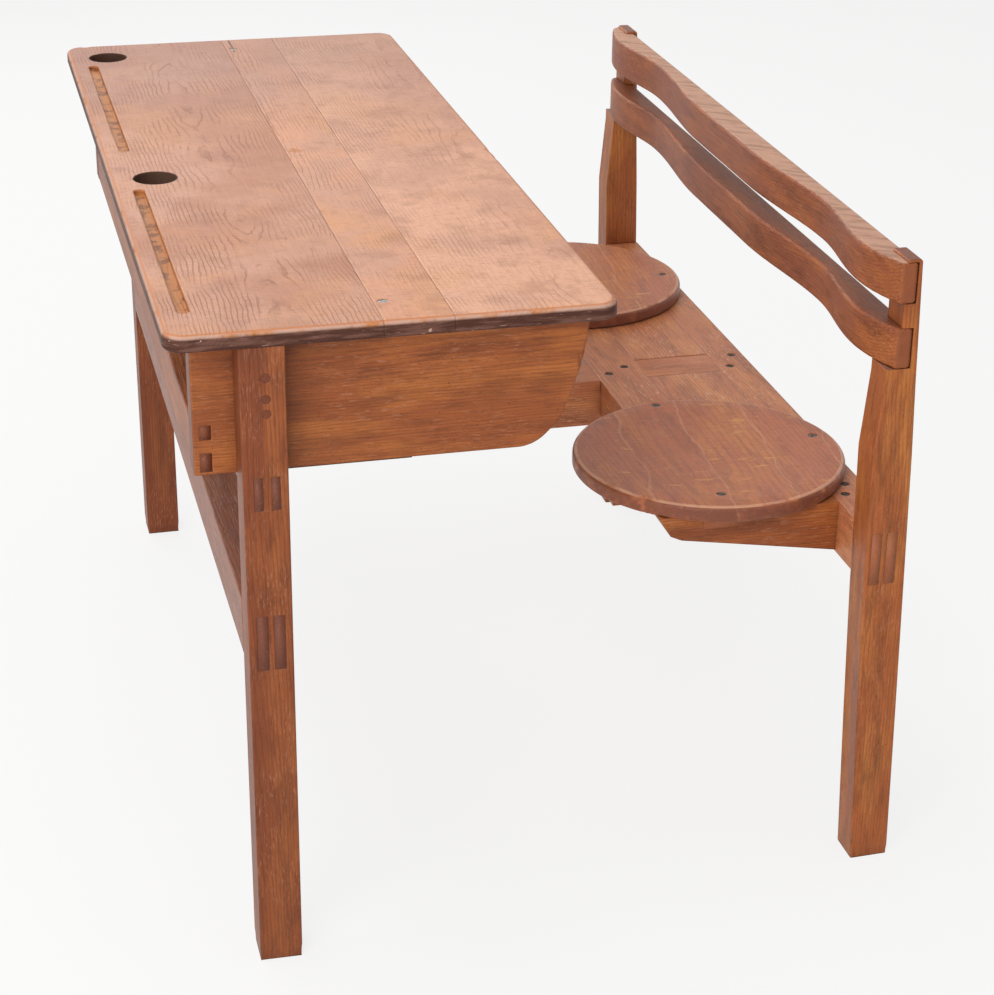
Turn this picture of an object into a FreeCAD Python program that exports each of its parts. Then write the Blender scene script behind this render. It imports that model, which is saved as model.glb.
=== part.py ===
import FreeCAD, Part
import math
import os
import Sketcher

# A school desk for two pupils, made of solid wood: a fixed, level top over an open book box,
# carried by two front legs, and a bench of two round dished seats with a two-rail back on two rear
# legs.  One centre beam joins the desk to the bench.
#
# Millimetres.  X runs along the desk, +Y is the side away from the pupils, +Z is up.  The origin is
# at floor level, in the middle of the length and of the overall depth.

V = FreeCAD.Vector
HAIR = 0.001  # two lengths closer than this are the same
doc = FreeCAD.newDocument("SchoolDesk")

# ---------------------------------------------------------------------------------------------
# Driving dimensions
# ---------------------------------------------------------------------------------------------
SIZES = [
    # overall
    ("desk_length", 1150, "length of the top"),
    ("overall_depth", 817, "top's front edge to the heels of the rear legs"),
    ("desk_height", 730, "floor to the top's surface"),
    ("arris", 2, "rounding of the worn edges of the frame"),
    ("fit_gap", 0.15, "clearance of a tenon, dowel or screw in its hole, on each side"),
    # top
    ("top_depth", 455, "front edge to pupil edge of the top"),
    ("top_thickness", 18, "thickness of the top"),
    ("top_corner", 22, "corner radius of the top in plan"),
    ("nosing_top", 6, "upper rounding of the top's edge"),
    ("nosing_bottom", 4, "lower rounding of the top's edge"),
    ("pupil_board", 170, "width of the board at the pupil edge"),
    ("middle_board", 71, "width of the middle board"),
    ("inkwell_bore", 50, "diameter of an inkwell hole"),
    ("inkwell_setback", 51, "front edge to the inkwell's centre"),
    ("inkwell_from_middle", 60, "inkwell of the pupil at -X, from the desk's middle"),
    ("inkwell_from_end", 71, "inkwell of the pupil at +X, from the top's end"),
    ("pencil_groove_width", 13, "width of a pencil groove"),
    ("pencil_groove_depth", 5.5, "depth of a pencil groove"),
    ("pencil_groove_round", 2, "rounding along the groove's bottom"),
    ("pencil_groove_length", 412, "length of a pencil groove"),
    ("pencil_groove_setback", 27.5, "front edge to the groove's middle line"),
    ("pencil_groove_from_inkwell", 40, "inkwell's centre to the groove's near end"),
    # front legs
    ("leg_inset", 4, "top's end to the outer face of a front leg"),
    ("leg_setback", 71, "top's front edge to the front face of a front leg"),
    ("leg_thickness", 44, "front leg along X"),
    ("leg_depth", 46, "front leg along Y"),
    # box
    ("cheek_thickness", 30, "end board of the book box"),
    ("cheek_setback", 28.5, "top's front edge to the cheek's front edge"),
    ("cheek_height", 149, "end board of the book box along Z"),
    ("cheek_top_overhang", 17, "top's pupil edge to the cheek's upper corner"),
    ("cheek_knee_rise", 89, "cheek's lower edge to the upper bend of its pupil edge"),
    ("cheek_knee_in", 9, "upper bend, in from the upper corner"),
    ("cheek_heel_rise", 27, "cheek's lower edge to the lower bend of its pupil edge"),
    ("cheek_heel_in", 31.5, "lower bend, in from the upper corner"),
    ("cheek_toe_in", 59.5, "end of the flat lower edge, in from the upper corner"),
    ("cheek_knee_round", 180, "rounding of the upper bend"),
    ("cheek_heel_round", 55, "rounding of the lower bend"),
    ("cheek_toe_round", 42, "rounding at the lower edge"),
    ("lip_setback", 0.5, "cheek's front edge to the box's front rail"),
    ("lip_thickness", 20, "front rail of the box, along Y"),
    ("lip_height", 53, "front rail of the box, along Z"),
    ("lip_tenon_thickness", 12, "its through tenons along Y"),
    ("lip_tenon_inset", 2, "rear face of the rail to its tenons"),
    ("lip_lower_tenon", 20, "height of its lower tenon"),
    ("lip_upper_tenon", 15, "height of its upper tenon"),
    ("lip_tenon_foot", 3, "rail's lower edge to its lower tenon"),
    ("shelf_thickness", 8, "book shelf"),
    ("shelf_depth", 300, "book shelf along Y"),
    ("shelf_cleat_thickness", 20, "cleat under the shelf along X"),
    ("shelf_cleat_height", 27.5, "cleat under the shelf along Z"),
    ("shelf_cleat_length", 146, "cleat under the shelf along Y"),
    ("partition_thickness", 18, "board between the two book compartments"),
    ("upper_rail_drop", 27, "cheek's lower edge to the lower edge of the rail under the box"),
    ("upper_rail_height", 40, "rail under the box, along Z"),
    ("upper_rail_thickness", 33, "rail under the box, along Y"),
    ("upper_tenon_thickness", 8.7, "each of its two through tenons along Y"),
    ("upper_tenon_spread", 17.6, "spacing of its two tenons along Y"),
    ("upper_tenon_inset", 2.7, "rail's rear face to its first tenon"),
    ("upper_tenon_shoulder", 2, "shoulder above and below its tenons"),
    ("dowel_diameter", 9, "dowels that hold a cheek to its leg"),
    ("dowel_depth", 16, "depth of a dowel in the cheek"),
    ("dowel_setback", 20, "front leg's rear face to the dowels"),
    ("dowel_high", 33, "top's underside to the upper dowel"),
    ("dowel_middle", 55, "top's underside to the middle dowel"),
    ("dowel_low", 70.5, "top's underside to the lower dowel"),
    # lower frame
    ("low_rail_bottom", 358, "floor to the stretcher and the seat's rear rail"),
    ("low_rail_height", 62, "stretcher and seat rail along Z"),
    ("stretcher_thickness", 40, "stretcher along Y"),
    ("stretcher_tenon", 11.5, "each of its two through tenons along Y"),
    ("stretcher_tenon_spread", 17.6, "spacing of its two tenons along Y"),
    ("stretcher_tenon_inset", 2, "stretcher's rear face to its first tenon"),
    ("beam_width", 60, "centre beam along X"),
    ("beam_height", 60, "centre beam along Z"),
    ("stub_length", 20, "hidden stub tenons of the beam and the arms"),
    ("stub_thickness", 20, "stub tenon along X"),
    ("stub_shoulder", 10, "shoulder above and below a stub tenon"),
    # bench frame
    ("bench_half_length", 527, "middle to the outer face of a rear leg"),
    ("rear_leg_thickness", 42, "rear leg along X"),
    ("seat_rail_thickness", 46, "seat's rear rail along Y"),
    ("seat_rail_heel", 10, "heel of the rear leg to the rail's rear face"),
    ("seat_tenon_thickness", 12, "each of its two through tenons along Y"),
    ("seat_tenon_spread", 18, "spacing of its two tenons along Y"),
    ("seat_tenon_inset", 12, "rail's rear face to its first tenon"),
    ("seat_front_rail_depth", 62, "seat's front rail along Y"),
    ("seat_front_rail_height", 45, "seat's front rail along Z"),
    ("seat_front_rail_gap", 98, "seat's rear rail to its front rail"),
    ("seat_lap", 18, "wood of the front rail left over the beam and the arms"),
    ("seat_board_thickness", 20, "infill boards"),
    ("arm_from_middle", 408, "middle to the centre line of a seat arm"),
    ("arm_width", 60, "seat arm along X"),
    ("arm_reach", 212, "seat's rear rail to the arm's front end"),
    ("arm_nose_rake", 14, "slant of the arm's front end"),
    ("arm_nose_height", 23, "height of the arm's front end"),
    ("arm_belly_height", 29, "arm's height where its lower edge turns up"),
    ("arm_belly_reach", 185, "seat's rear rail to that turn"),
    ("disc_cleat_width", 91, "small cleat under the front of a seat, along X"),
    ("disc_cleat_depth", 80, "the same along Y"),
    ("disc_cleat_thickness", 19, "the same along Z"),
    # seats
    ("seat_from_middle", 308, "middle to the centre of a seat"),
    ("seat_centre_heel", 168, "heel of the rear leg to the seat's centre"),
    ("seat_radius", 158, "radius of a seat"),
    ("seat_thickness", 18.5, "thickness of a seat at its rim"),
    ("seat_dish", 5, "depth of the dish at the centre"),
    ("seat_rim", 20, "width of the flat rim round the dish"),
    ("seat_rim_round_top", 6, "upper rounding of the rim"),
    ("seat_rim_round_bottom", 3, "lower rounding of the rim"),
    # rear legs
    ("rear_leg_height", 735, "floor to the top of a rear leg"),
    ("heel_depth", 45, "rear leg along Y at the floor"),
    ("calf_height", 181, "floor to the first turn of the leg"),
    ("calf_front", 51.5, "heel line to the leg's front edge there"),
    ("calf_back", 4.5, "heel line to the leg's rear edge there"),
    ("knee_height", 340, "floor to the second turn of the leg"),
    ("knee_front", 56.5, "heel line to the leg's front edge there"),
    ("knee_back", 9, "heel line to the leg's rear edge there"),
    ("thigh_height", 512, "floor to the leg's thickest part"),
    ("thigh_front", 59.5, "heel line to the leg's front edge there"),
    ("thigh_back", 13.5, "heel line to the leg's rear edge there"),
    ("waist_drop", 135, "leg's top down to the narrow part below the rails"),
    ("waist_front", 52, "heel line to the leg's front edge there"),
    ("waist_back", 17, "heel line to the leg's rear edge there"),
    ("tip_front", 38, "heel line to the leg's front edge between the rails"),
    ("tip_back", 21, "heel line to the leg's rear edge at its top"),
    ("tip_round", 4, "rounding of the leg's top"),
    # back rails
    ("back_half_length", 528, "middle to the end of a back rail"),
    ("back_face_heel", 25, "heel line to the rear face of the rails"),
    ("back_rail_height", 46, "height of a back rail"),
    ("upper_back_drop", 3, "leg's top down to the upper back rail"),
    ("back_rail_gap", 27, "open height between the back rails"),
    ("back_crest", 35.5, "thickness of a back rail at its crests"),
    ("back_trough", 21.5, "thickness behind each pupil"),
    ("back_tip", 19, "thickness at its ends"),
    ("back_middle_crest", 100, "middle to the end of the middle crest"),
    ("back_outer_crest", 445, "middle to an outer crest"),
    ("back_round", 4.5, "rounding of the rails' long edges"),
    ("back_end_round", 6, "rounding of the rails' ends in plan"),
    # slotted countersunk screws
    ("screw_head", 11, "head diameter"),
    ("screw_head_depth", 3.2, "depth of the countersunk head"),
    ("screw_shank", 4.5, "shank diameter"),
    ("screw_slot_width", 1.3, "slot in the head"),
    ("screw_slot_depth", 1.4, "slot in the head"),
    ("screw_sunk", 0.5, "a head's face below the wood around it"),
    ("countersink_rise", 6, "height of a countersink's cutter above the head's face"),
    ("long_screw", 38, "length of the screws in the top, the seats and the frame"),
    ("short_screw", 19, "length of the screws in the back rails"),
    ("top_screw_setback", 224, "top's front edge to the screw at each end"),
    ("top_screw_inset", 10, "cheek's outer face to that screw"),
]

sheet = doc.addObject("Spreadsheet::Sheet", "Sizes")
for row, (alias, number, note) in enumerate(SIZES, start=1):
    sheet.set("A%d" % row, note)
    sheet.set("B%d" % row, str(number))
    sheet.setAlias("B%d" % row, alias)
doc.recompute()


class Length:
    """A length: its number now, and the formula on the sheet that keeps it tied."""

    def __init__(self, value, formula):
        self.value = float(value)
        self.formula = formula

    def __add__(self, other):
        other = length(other)
        return Length(self.value + other.value, "(%s + %s)" % (self.formula, other.formula))

    def __sub__(self, other):
        other = length(other)
        return Length(self.value - other.value, "(%s - %s)" % (self.formula, other.formula))

    def __mul__(self, factor):
        return Length(self.value * factor, "(%s * %r)" % (self.formula, factor))

    def __truediv__(self, divisor):
        return Length(self.value / divisor, "(%s / %r)" % (self.formula, divisor))

    def __neg__(self):
        return Length(-self.value, "(0 - %s)" % self.formula)


def length(thing):
    """A Length from a Length or a plain number."""
    if isinstance(thing, Length):
        return thing
    return Length(thing, repr(float(thing)))


class Sizes:
    """The sheet's dimensions as attributes."""


size = Sizes()
for alias, number, note in SIZES:
    setattr(size, alias, Length(number, "Sizes." + alias))

zero = length(0)

# ---------------------------------------------------------------------------------------------
# Planes of the desk that several pieces share
# ---------------------------------------------------------------------------------------------
front_edge = size.overall_depth / 2
heel_line = -(size.overall_depth / 2)
top_end = size.desk_length / 2
top_underside = size.desk_height - size.top_thickness
pupil_edge = front_edge - size.top_depth

leg_outer = top_end - size.leg_inset
leg_inner = leg_outer - size.leg_thickness
leg_front = front_edge - size.leg_setback
leg_rear = leg_front - size.leg_depth

cheek_outer = leg_inner
cheek_inner = cheek_outer - size.cheek_thickness
cheek_front = front_edge - size.cheek_setback
cheek_corner = pupil_edge + size.cheek_top_overhang
cheek_bottom = top_underside - size.cheek_height

stretcher_rear = leg_front - size.stretcher_thickness
low_rail_top = size.low_rail_bottom + size.low_rail_height
upper_rail_rear = stretcher_rear
upper_rail_front = upper_rail_rear + size.upper_rail_thickness
upper_rail_bottom = cheek_bottom - size.upper_rail_drop
upper_rail_top = upper_rail_bottom + size.upper_rail_height

lip_front = cheek_front - size.lip_setback
lip_rear = lip_front - size.lip_thickness
lip_bottom = cheek_bottom
shelf_top = upper_rail_top + size.shelf_thickness
shelf_pupil_edge = lip_rear - size.shelf_depth

seat_top = low_rail_top
seat_rail_rear = heel_line + size.seat_rail_heel
seat_rail_front = seat_rail_rear + size.seat_rail_thickness
front_rail_rear = seat_rail_front + size.seat_front_rail_gap
front_rail_front = front_rail_rear + size.seat_front_rail_depth
lap_level = seat_top - size.seat_lap
beam_bottom = seat_top - size.beam_height
half_beam = size.beam_width / 2
arm_inner = size.arm_from_middle - size.arm_width / 2
arm_outer = size.arm_from_middle + size.arm_width / 2
rear_leg_inner = size.bench_half_length - size.rear_leg_thickness
seat_centre_y = heel_line + size.seat_centre_heel
back_rear = heel_line + size.back_face_heel
upper_back_bottom = size.rear_leg_height - size.upper_back_drop - size.back_rail_height
lower_back_bottom = upper_back_bottom - size.back_rail_gap - size.back_rail_height
waist_height = size.rear_leg_height - size.waist_drop


# ---------------------------------------------------------------------------------------------
# Small helpers for bodies, sketches and features
# ---------------------------------------------------------------------------------------------
def new_body(label):
    body = doc.addObject("PartDesign::Body", label)
    body.Label = label
    return body


def place(thing, x=zero, y=zero, z=zero):
    """Put a piece at its seat, tied to the sheet."""
    thing.setExpression("Placement.Base.x", x.formula)
    thing.setExpression("Placement.Base.y", y.formula)
    thing.setExpression("Placement.Base.z", z.formula)
    return thing


def new_sketch(body, role, lift=zero):
    """A sketch on one of the body's own planes, lifted along the plane's normal."""
    sketch = body.newObject("Sketcher::SketchObject", body.Name + "Sketch")
    plane = next(item for item in body.Origin.OriginFeatures if item.Role == role)
    sketch.AttachmentSupport = (plane, [""])
    sketch.MapMode = "FlatFace"
    sketch.setExpression("AttachmentOffset.Base.z", lift.formula)
    return sketch


def tie(sketch, kind, measured, amount):
    """One dimension of a sketch, bound to the sheet."""
    number = sketch.addConstraint(Sketcher.Constraint(kind, *measured, amount.value))
    sketch.setExpression("Constraints[%d]" % number, amount.formula)


def pin_point(sketch, item, end, across, up):
    tie(sketch, "DistanceX", (-1, 1, item, end), across)
    tie(sketch, "DistanceY", (-1, 1, item, end), up)


def add_polygon(sketch, corners):
    """A closed outline of straight edges, every corner tied to the sheet."""
    points = [V(across.value, up.value, 0) for across, up in corners]
    first = len(sketch.Geometry)
    count = len(corners)
    for index in range(count):
        sketch.addGeometry(Part.LineSegment(points[index], points[(index + 1) % count]))
    for index in range(count):
        after = first + (index + 1) % count
        sketch.addConstraint(Sketcher.Constraint("Coincident", first + index, 2, after, 1))
    for index, (across, up) in enumerate(corners):
        pin_point(sketch, first + index, 1, across, up)


def add_box_outline(sketch, low_across, high_across, low_up, high_up):
    add_polygon(sketch, [
        (low_across, low_up),
        (high_across, low_up),
        (high_across, high_up),
        (low_across, high_up),
    ])


def add_circle(sketch, across, up, radius):
    centre = V(across.value, up.value, 0)
    item = sketch.addGeometry(Part.Circle(centre, V(0, 0, 1), radius.value))
    pin_point(sketch, item, 3, across, up)
    tie(sketch, "Radius", (item,), radius)


def add_slot(sketch, low_across, high_across, middle, width):
    """A slot with round ends, drawn along the sketch's first axis."""
    radius = width / 2
    left = low_across + radius
    right = high_across - radius
    low = middle - radius
    high = middle + radius
    left_centre = V(left.value, middle.value, 0)
    right_centre = V(right.value, middle.value, 0)
    up = V(0, 0, 1)
    quarter = math.pi / 2
    bottom = sketch.addGeometry(Part.LineSegment(V(left.value, low.value, 0), V(right.value, low.value, 0)))
    right_end = sketch.addGeometry(
        Part.ArcOfCircle(Part.Circle(right_centre, up, radius.value), -quarter, quarter))
    over = sketch.addGeometry(Part.LineSegment(V(right.value, high.value, 0), V(left.value, high.value, 0)))
    left_end = sketch.addGeometry(
        Part.ArcOfCircle(Part.Circle(left_centre, up, radius.value), quarter, 3 * quarter))
    ring = [bottom, right_end, over, left_end]
    for index, item in enumerate(ring):
        after = ring[(index + 1) % 4]
        sketch.addConstraint(Sketcher.Constraint("Tangent", item, 2, after, 1))
    sketch.addConstraint(Sketcher.Constraint("Equal", left_end, right_end))
    pin_point(sketch, right_end, 3, right, middle)
    pin_point(sketch, left_end, 3, left, middle)
    tie(sketch, "Radius", (right_end,), radius)


def pad(body, sketch, amount, name="Pad"):
    feature = body.newObject("PartDesign::Pad", name)
    feature.Profile = sketch
    feature.setExpression("Length", amount.formula)
    doc.recompute()
    return feature


def cut(body, sketch, amount, name="Cut"):
    """A pocket that runs along the sketch plane's normal; it has to remove wood."""
    doc.recompute()
    before = body.Shape.Volume
    feature = body.newObject("PartDesign::Pocket", name)
    feature.Profile = sketch
    feature.Reversed = True
    feature.setExpression("Length", amount.formula)
    doc.recompute()
    if not body.Shape.Volume < before:
        raise RuntimeError("%s removes nothing from %s" % (name, body.Label))
    return feature


def round_edges(body, radius, wanted, name="Arrises"):
    """Round the edges of the body as it is now that the test picks."""
    doc.recompute()
    base = body.Tip
    chosen = ["Edge%d" % number for number, edge in enumerate(base.Shape.Edges, start=1) if wanted(edge)]
    if not chosen:
        raise RuntimeError("no edge to round on " + body.Label)
    feature = body.newObject("PartDesign::Fillet", name)
    feature.Base = (base, chosen)
    feature.setExpression("Radius", radius.formula)
    doc.recompute()
    return feature


def runs_along(axis):
    """A test for straight edges along one axis."""
    def test(edge):
        if not isinstance(edge.Curve, (Part.Line, Part.LineSegment)):
            return False
        spans = (edge.BoundBox.XLength, edge.BoundBox.YLength, edge.BoundBox.ZLength)
        across = [span for number, span in enumerate(spans) if number != axis]
        return max(across) < HAIR < spans[axis]
    return test


def steep_edge(edge):
    """A test for the long edges of a post: they rise much more than they lean."""
    box = edge.BoundBox
    return box.ZLength > 4 * max(box.XLength, box.YLength)


def prism_along_x(label, outline, start, run, x=zero):
    """A piece drawn from its side, in Y and Z, and padded along X."""
    body = new_body(label)
    sketch = new_sketch(body, "YZ_Plane", start)
    add_polygon(sketch, outline)
    pad(body, sketch, run)
    place(body, x)
    return body


def board(label, x_range, y_range, z_range, x=zero):
    """A plain board between three pairs of planes."""
    body = new_body(label)
    sketch = new_sketch(body, "XY_Plane", z_range[0])
    add_box_outline(sketch, x_range[0], x_range[1], y_range[0], y_range[1])
    pad(body, sketch, z_range[1] - z_range[0])
    place(body, x)
    return body


# ---------------------------------------------------------------------------------------------
# Screws: one slotted countersunk screw, its clearance hole, and groups of them
# ---------------------------------------------------------------------------------------------
def screw_outline(shank, run, grow):
    """Half the section of a screw with its head's face at the origin, pointing down."""
    head = size.screw_head / 2 + grow
    shaft = shank / 2 + grow
    point = run + grow
    tip = shank
    return [
        (zero, zero),
        (head, zero),
        (shaft, -size.screw_head_depth - grow),
        (shaft, -(point - tip)),
        (zero, -point),
    ]


def make_screw(label, run, grow, slotted):
    body = new_body(label)
    sketch = new_sketch(body, "XZ_Plane")
    add_polygon(sketch, screw_outline(size.screw_shank, run, grow))
    turned = body.newObject("PartDesign::Revolution", "Turned")
    turned.Profile = sketch
    turned.ReferenceAxis = (sketch, ["V_Axis"])
    turned.Angle = 360
    doc.recompute()
    if slotted:
        slot = new_sketch(body, "XY_Plane", -size.screw_slot_depth)
        half_slot = size.screw_slot_width / 2
        add_box_outline(slot, -size.screw_head, size.screw_head, -half_slot, half_slot)
        cut(body, slot, size.screw_slot_depth, "Slot")
    return body


long_screw = make_screw("LongScrew", size.long_screw, zero, True)
long_hole = make_screw("LongScrewHole", size.long_screw, size.fit_gap, False)
short_screw = make_screw("ShortScrew", size.short_screw, zero, True)
short_hole = make_screw("ShortScrewHole", size.short_screw, size.fit_gap, False)

UPRIGHT = FreeCAD.Rotation()
FACING_BACK = FreeCAD.Rotation(V(1, 0, 0), 90)
SLOT_TURN = 50  # degrees from one screw's slot to the next one's


def screw_places(spots, turn):
    """Where each screw's head lies, with its slot turned on from the one before."""
    places = []
    for number, (x, y, z) in enumerate(spots, start=1):
        slot_turn = FreeCAD.Rotation(V(0, 0, 1), SLOT_TURN * number)
        places.append(FreeCAD.Placement(V(x.value, y.value, z.value), turn.multiply(slot_turn)))
    return places


def group_of(label, pattern, places):
    """Several copies of one fastener, as one node of separate solids."""
    copies = []
    for spot in places:
        copy = pattern.Shape.copy()
        copy.Placement = spot.multiply(copy.Placement)
        copies.append(copy)
    node = doc.addObject("Part::Feature", label)
    node.Label = label
    node.Shape = Part.makeCompound(copies)
    return node


def hole_group(label, pattern, places):
    """The clearance holes of such a group, each open above its screw's head."""
    radius = size.screw_head.value / 2 + size.fit_gap.value
    holes = []
    for spot in places:
        mouth = Part.makeCylinder(radius, size.countersink_rise.value)
        hole = pattern.Shape.fuse(mouth).removeSplitter()
        hole.Placement = spot.multiply(hole.Placement)
        holes.append(hole)
    node = doc.addObject("Part::Feature", label)
    node.Shape = Part.makeCompound(holes)
    return node


def drilled(label, blank, holes):
    """The finished piece: its blank less the screw holes that reach it."""
    blank.Label = label + "_blank"
    node = doc.addObject("Part::Cut", label)
    node.Label = label
    node.Base = blank
    node.Tool = holes
    return node


# ---------------------------------------------------------------------------------------------
# Top: three boards glued edge to edge, with inkwell holes and pencil grooves
# ---------------------------------------------------------------------------------------------
inkwells = [-size.inkwell_from_middle, top_end - size.inkwell_from_end]
inkwell_y = front_edge - size.inkwell_setback
groove_y = front_edge - size.pencil_groove_setback


def make_top_blank():
    body = new_body("TopBlank")
    plan = new_sketch(body, "XY_Plane", top_underside)
    add_box_outline(plan, -top_end, top_end, pupil_edge, front_edge)
    pad(body, plan, size.top_thickness)
    round_edges(body, size.top_corner, runs_along(2), "Corners")
    upper = size.desk_height.value
    lower = top_underside.value
    round_edges(body, size.nosing_top, lambda edge: edge.BoundBox.ZMin > upper - HAIR, "NosingTop")
    round_edges(body, size.nosing_bottom, lambda edge: edge.BoundBox.ZMax < lower + HAIR, "NosingBottom")
    holes = new_sketch(body, "XY_Plane", top_underside)
    for x in inkwells:
        add_circle(holes, x, inkwell_y, size.inkwell_bore / 2)
    cut(body, holes, size.top_thickness, "InkwellHoles")
    grooves = new_sketch(body, "XY_Plane", size.desk_height - size.pencil_groove_depth)
    for x in inkwells:
        near_end = x - size.pencil_groove_from_inkwell
        far_end = near_end - size.pencil_groove_length
        add_slot(grooves, far_end, near_end, groove_y, size.pencil_groove_width)
    cut(body, grooves, size.pencil_groove_depth, "PencilGrooves")
    floor = size.desk_height.value - size.pencil_groove_depth.value

    def groove_bottom(edge):
        box = edge.BoundBox
        return abs(box.ZMin - floor) < HAIR and abs(box.ZMax - floor) < HAIR

    round_edges(body, size.pencil_groove_round, groove_bottom, "GrooveBottoms")
    return body


top_screw_y = front_edge - size.top_screw_setback
top_screw_x = cheek_outer - size.top_screw_inset
screw_face = size.desk_height - size.screw_sunk
top_spots = [(-top_screw_x, top_screw_y, screw_face), (top_screw_x, top_screw_y, screw_face)]
top_places = screw_places(top_spots, UPRIGHT)
top_holes = hole_group("TopScrewHoles", long_hole, top_places)

top_blank = make_top_blank()
middle_low = pupil_edge + size.pupil_board
middle_high = middle_low + size.middle_board


def top_strip(label, low, high):
    """The room that one board of the top fills."""
    strip = doc.addObject("Part::Box", label + "_room")
    strip.setExpression("Length", size.desk_length.formula)
    strip.setExpression("Width", (high - low).formula)
    strip.setExpression("Height", size.top_thickness.formula)
    return place(strip, -top_end, low, top_underside)


def top_board(label, low, high):
    node = doc.addObject("Part::Common", label)
    node.Label = label
    node.Base = top_blank
    node.Tool = top_strip(label, low, high)
    return node


nodes = [
    top_board("desk_top_board_pupil", pupil_edge, middle_low),
    drilled("desk_top_board_middle", top_board("middle_sawn", middle_low, middle_high), top_holes),
    top_board("desk_top_board_front", middle_high, front_edge),
]

# ---------------------------------------------------------------------------------------------
# Front legs, with the through mortises of the upper rail and the stretcher
# ---------------------------------------------------------------------------------------------
def twin(first_rear, thickness, spread):
    """The Y ranges of two tenons side by side."""
    second_rear = first_rear + spread
    return [(first_rear, first_rear + thickness), (second_rear, second_rear + thickness)]


def widened(low, high):
    """A mortise: the tenon's range with the clearance on both sides."""
    return low - size.fit_gap, high + size.fit_gap


upper_tenons_y = twin(upper_rail_rear + size.upper_tenon_inset, size.upper_tenon_thickness,
                      size.upper_tenon_spread)
upper_tenons_z = (upper_rail_bottom + size.upper_tenon_shoulder,
                  upper_rail_top - size.upper_tenon_shoulder)
stretcher_tenons_y = twin(stretcher_rear + size.stretcher_tenon_inset, size.stretcher_tenon,
                          size.stretcher_tenon_spread)
low_tenons_z = (size.low_rail_bottom, low_rail_top)
seat_tenons_y = twin(seat_rail_rear + size.seat_tenon_inset, size.seat_tenon_thickness,
                     size.seat_tenon_spread)
dowel_y = leg_rear + size.dowel_setback
dowel_heights = [top_underside - drop for drop in (size.dowel_high, size.dowel_middle, size.dowel_low)]


def mortise(body, y_ranges, z_range, depth, name):
    """Through mortises in a leg that starts at X = 0."""
    sketch = new_sketch(body, "YZ_Plane")
    low_z, high_z = widened(*z_range)
    for y_range in y_ranges:
        low_y, high_y = widened(*y_range)
        add_box_outline(sketch, low_y, high_y, low_z, high_z)
    cut(body, sketch, depth, name)


def front_leg(label, x):
    body = new_body(label)
    foot = new_sketch(body, "XY_Plane")
    add_box_outline(foot, zero, size.leg_thickness, leg_rear, leg_front)
    pad(body, foot, top_underside)
    round_edges(body, size.arris, runs_along(2))
    mortise(body, upper_tenons_y, upper_tenons_z, size.leg_thickness, "UpperMortises")
    mortise(body, stretcher_tenons_y, low_tenons_z, size.leg_thickness, "LowerMortises")
    dowels = new_sketch(body, "YZ_Plane")
    for height in dowel_heights:
        add_circle(dowels, dowel_y, height, size.dowel_diameter / 2 + size.fit_gap)
    cut(body, dowels, size.leg_thickness, "DowelHoles")
    return place(body, x)


nodes.append(front_leg("front_leg_left", -leg_outer))
nodes.append(front_leg("front_leg_right", leg_inner))


# ---------------------------------------------------------------------------------------------
# Rails with shoulders and tenons
# ---------------------------------------------------------------------------------------------
def tenoned_rail(label, half_between, half_overall, y_range, z_range, tenons, round_radius=None):
    """A rail along X between two shoulders, with tenons that run through to half_overall."""
    body = new_body(label)
    section = new_sketch(body, "YZ_Plane", -half_between)
    add_box_outline(section, y_range[0], y_range[1], z_range[0], z_range[1])
    pad(body, section, half_between * 2)
    if round_radius is not None:
        round_edges(body, round_radius, runs_along(0))
    tenon_sketch = new_sketch(body, "YZ_Plane", -half_overall)
    for (low_y, high_y), (low_z, high_z) in tenons:
        add_box_outline(tenon_sketch, low_y, high_y, low_z, high_z)
    pad(body, tenon_sketch, half_overall * 2, "Tenons")
    return place(body)


upper_rail = tenoned_rail(
    "upper_rail", leg_inner, leg_outer, (upper_rail_rear, upper_rail_front),
    (upper_rail_bottom, upper_rail_top), [(pair, upper_tenons_z) for pair in upper_tenons_y])
nodes.append(upper_rail)

stretcher = tenoned_rail(
    "stretcher", leg_inner, leg_outer, (stretcher_rear, leg_front),
    (size.low_rail_bottom, low_rail_top), [(pair, low_tenons_z) for pair in stretcher_tenons_y])

stub_z = (beam_bottom + size.stub_shoulder, seat_top - size.stub_shoulder)
half_stub = size.stub_thickness / 2


def stub_mortise(body, centres, along, start, name):
    """Blind mortises, cut along Y from the plane at start."""
    sketch = new_sketch(body, "XZ_Plane", start)
    low_z, high_z = widened(*stub_z)
    for x in centres:
        low_x, high_x = widened(x - half_stub, x + half_stub)
        add_box_outline(sketch, low_x, high_x, low_z, high_z)
    cut(body, sketch, along, name)


stub_room = size.stub_length + size.fit_gap
stub_mortise(stretcher, [zero], stub_room, -(stretcher_rear + stub_room), "BeamMortise")
nodes.append(stretcher)

seat_rear_rail = tenoned_rail(
    "seat_rear_rail_blank", rear_leg_inner, size.bench_half_length, (seat_rail_rear, seat_rail_front),
    (size.low_rail_bottom, low_rail_top), [(pair, low_tenons_z) for pair in seat_tenons_y])
arm_centres = [-size.arm_from_middle, size.arm_from_middle]
stub_mortise(seat_rear_rail, [zero] + arm_centres, stub_room, -seat_rail_front, "StubMortises")

# ---------------------------------------------------------------------------------------------
# Book box: cheeks, lip rail, shelf with its cleats, partition
# ---------------------------------------------------------------------------------------------
lip_tenon_rear = lip_rear + size.lip_tenon_inset
lip_tenon_y = (lip_tenon_rear, lip_tenon_rear + size.lip_tenon_thickness)
lip_top = lip_bottom + size.lip_height
lip_lower_z = (lip_bottom + size.lip_tenon_foot, lip_bottom + size.lip_tenon_foot + size.lip_lower_tenon)
lip_upper_z = (lip_top - size.lip_upper_tenon, lip_top)


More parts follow.
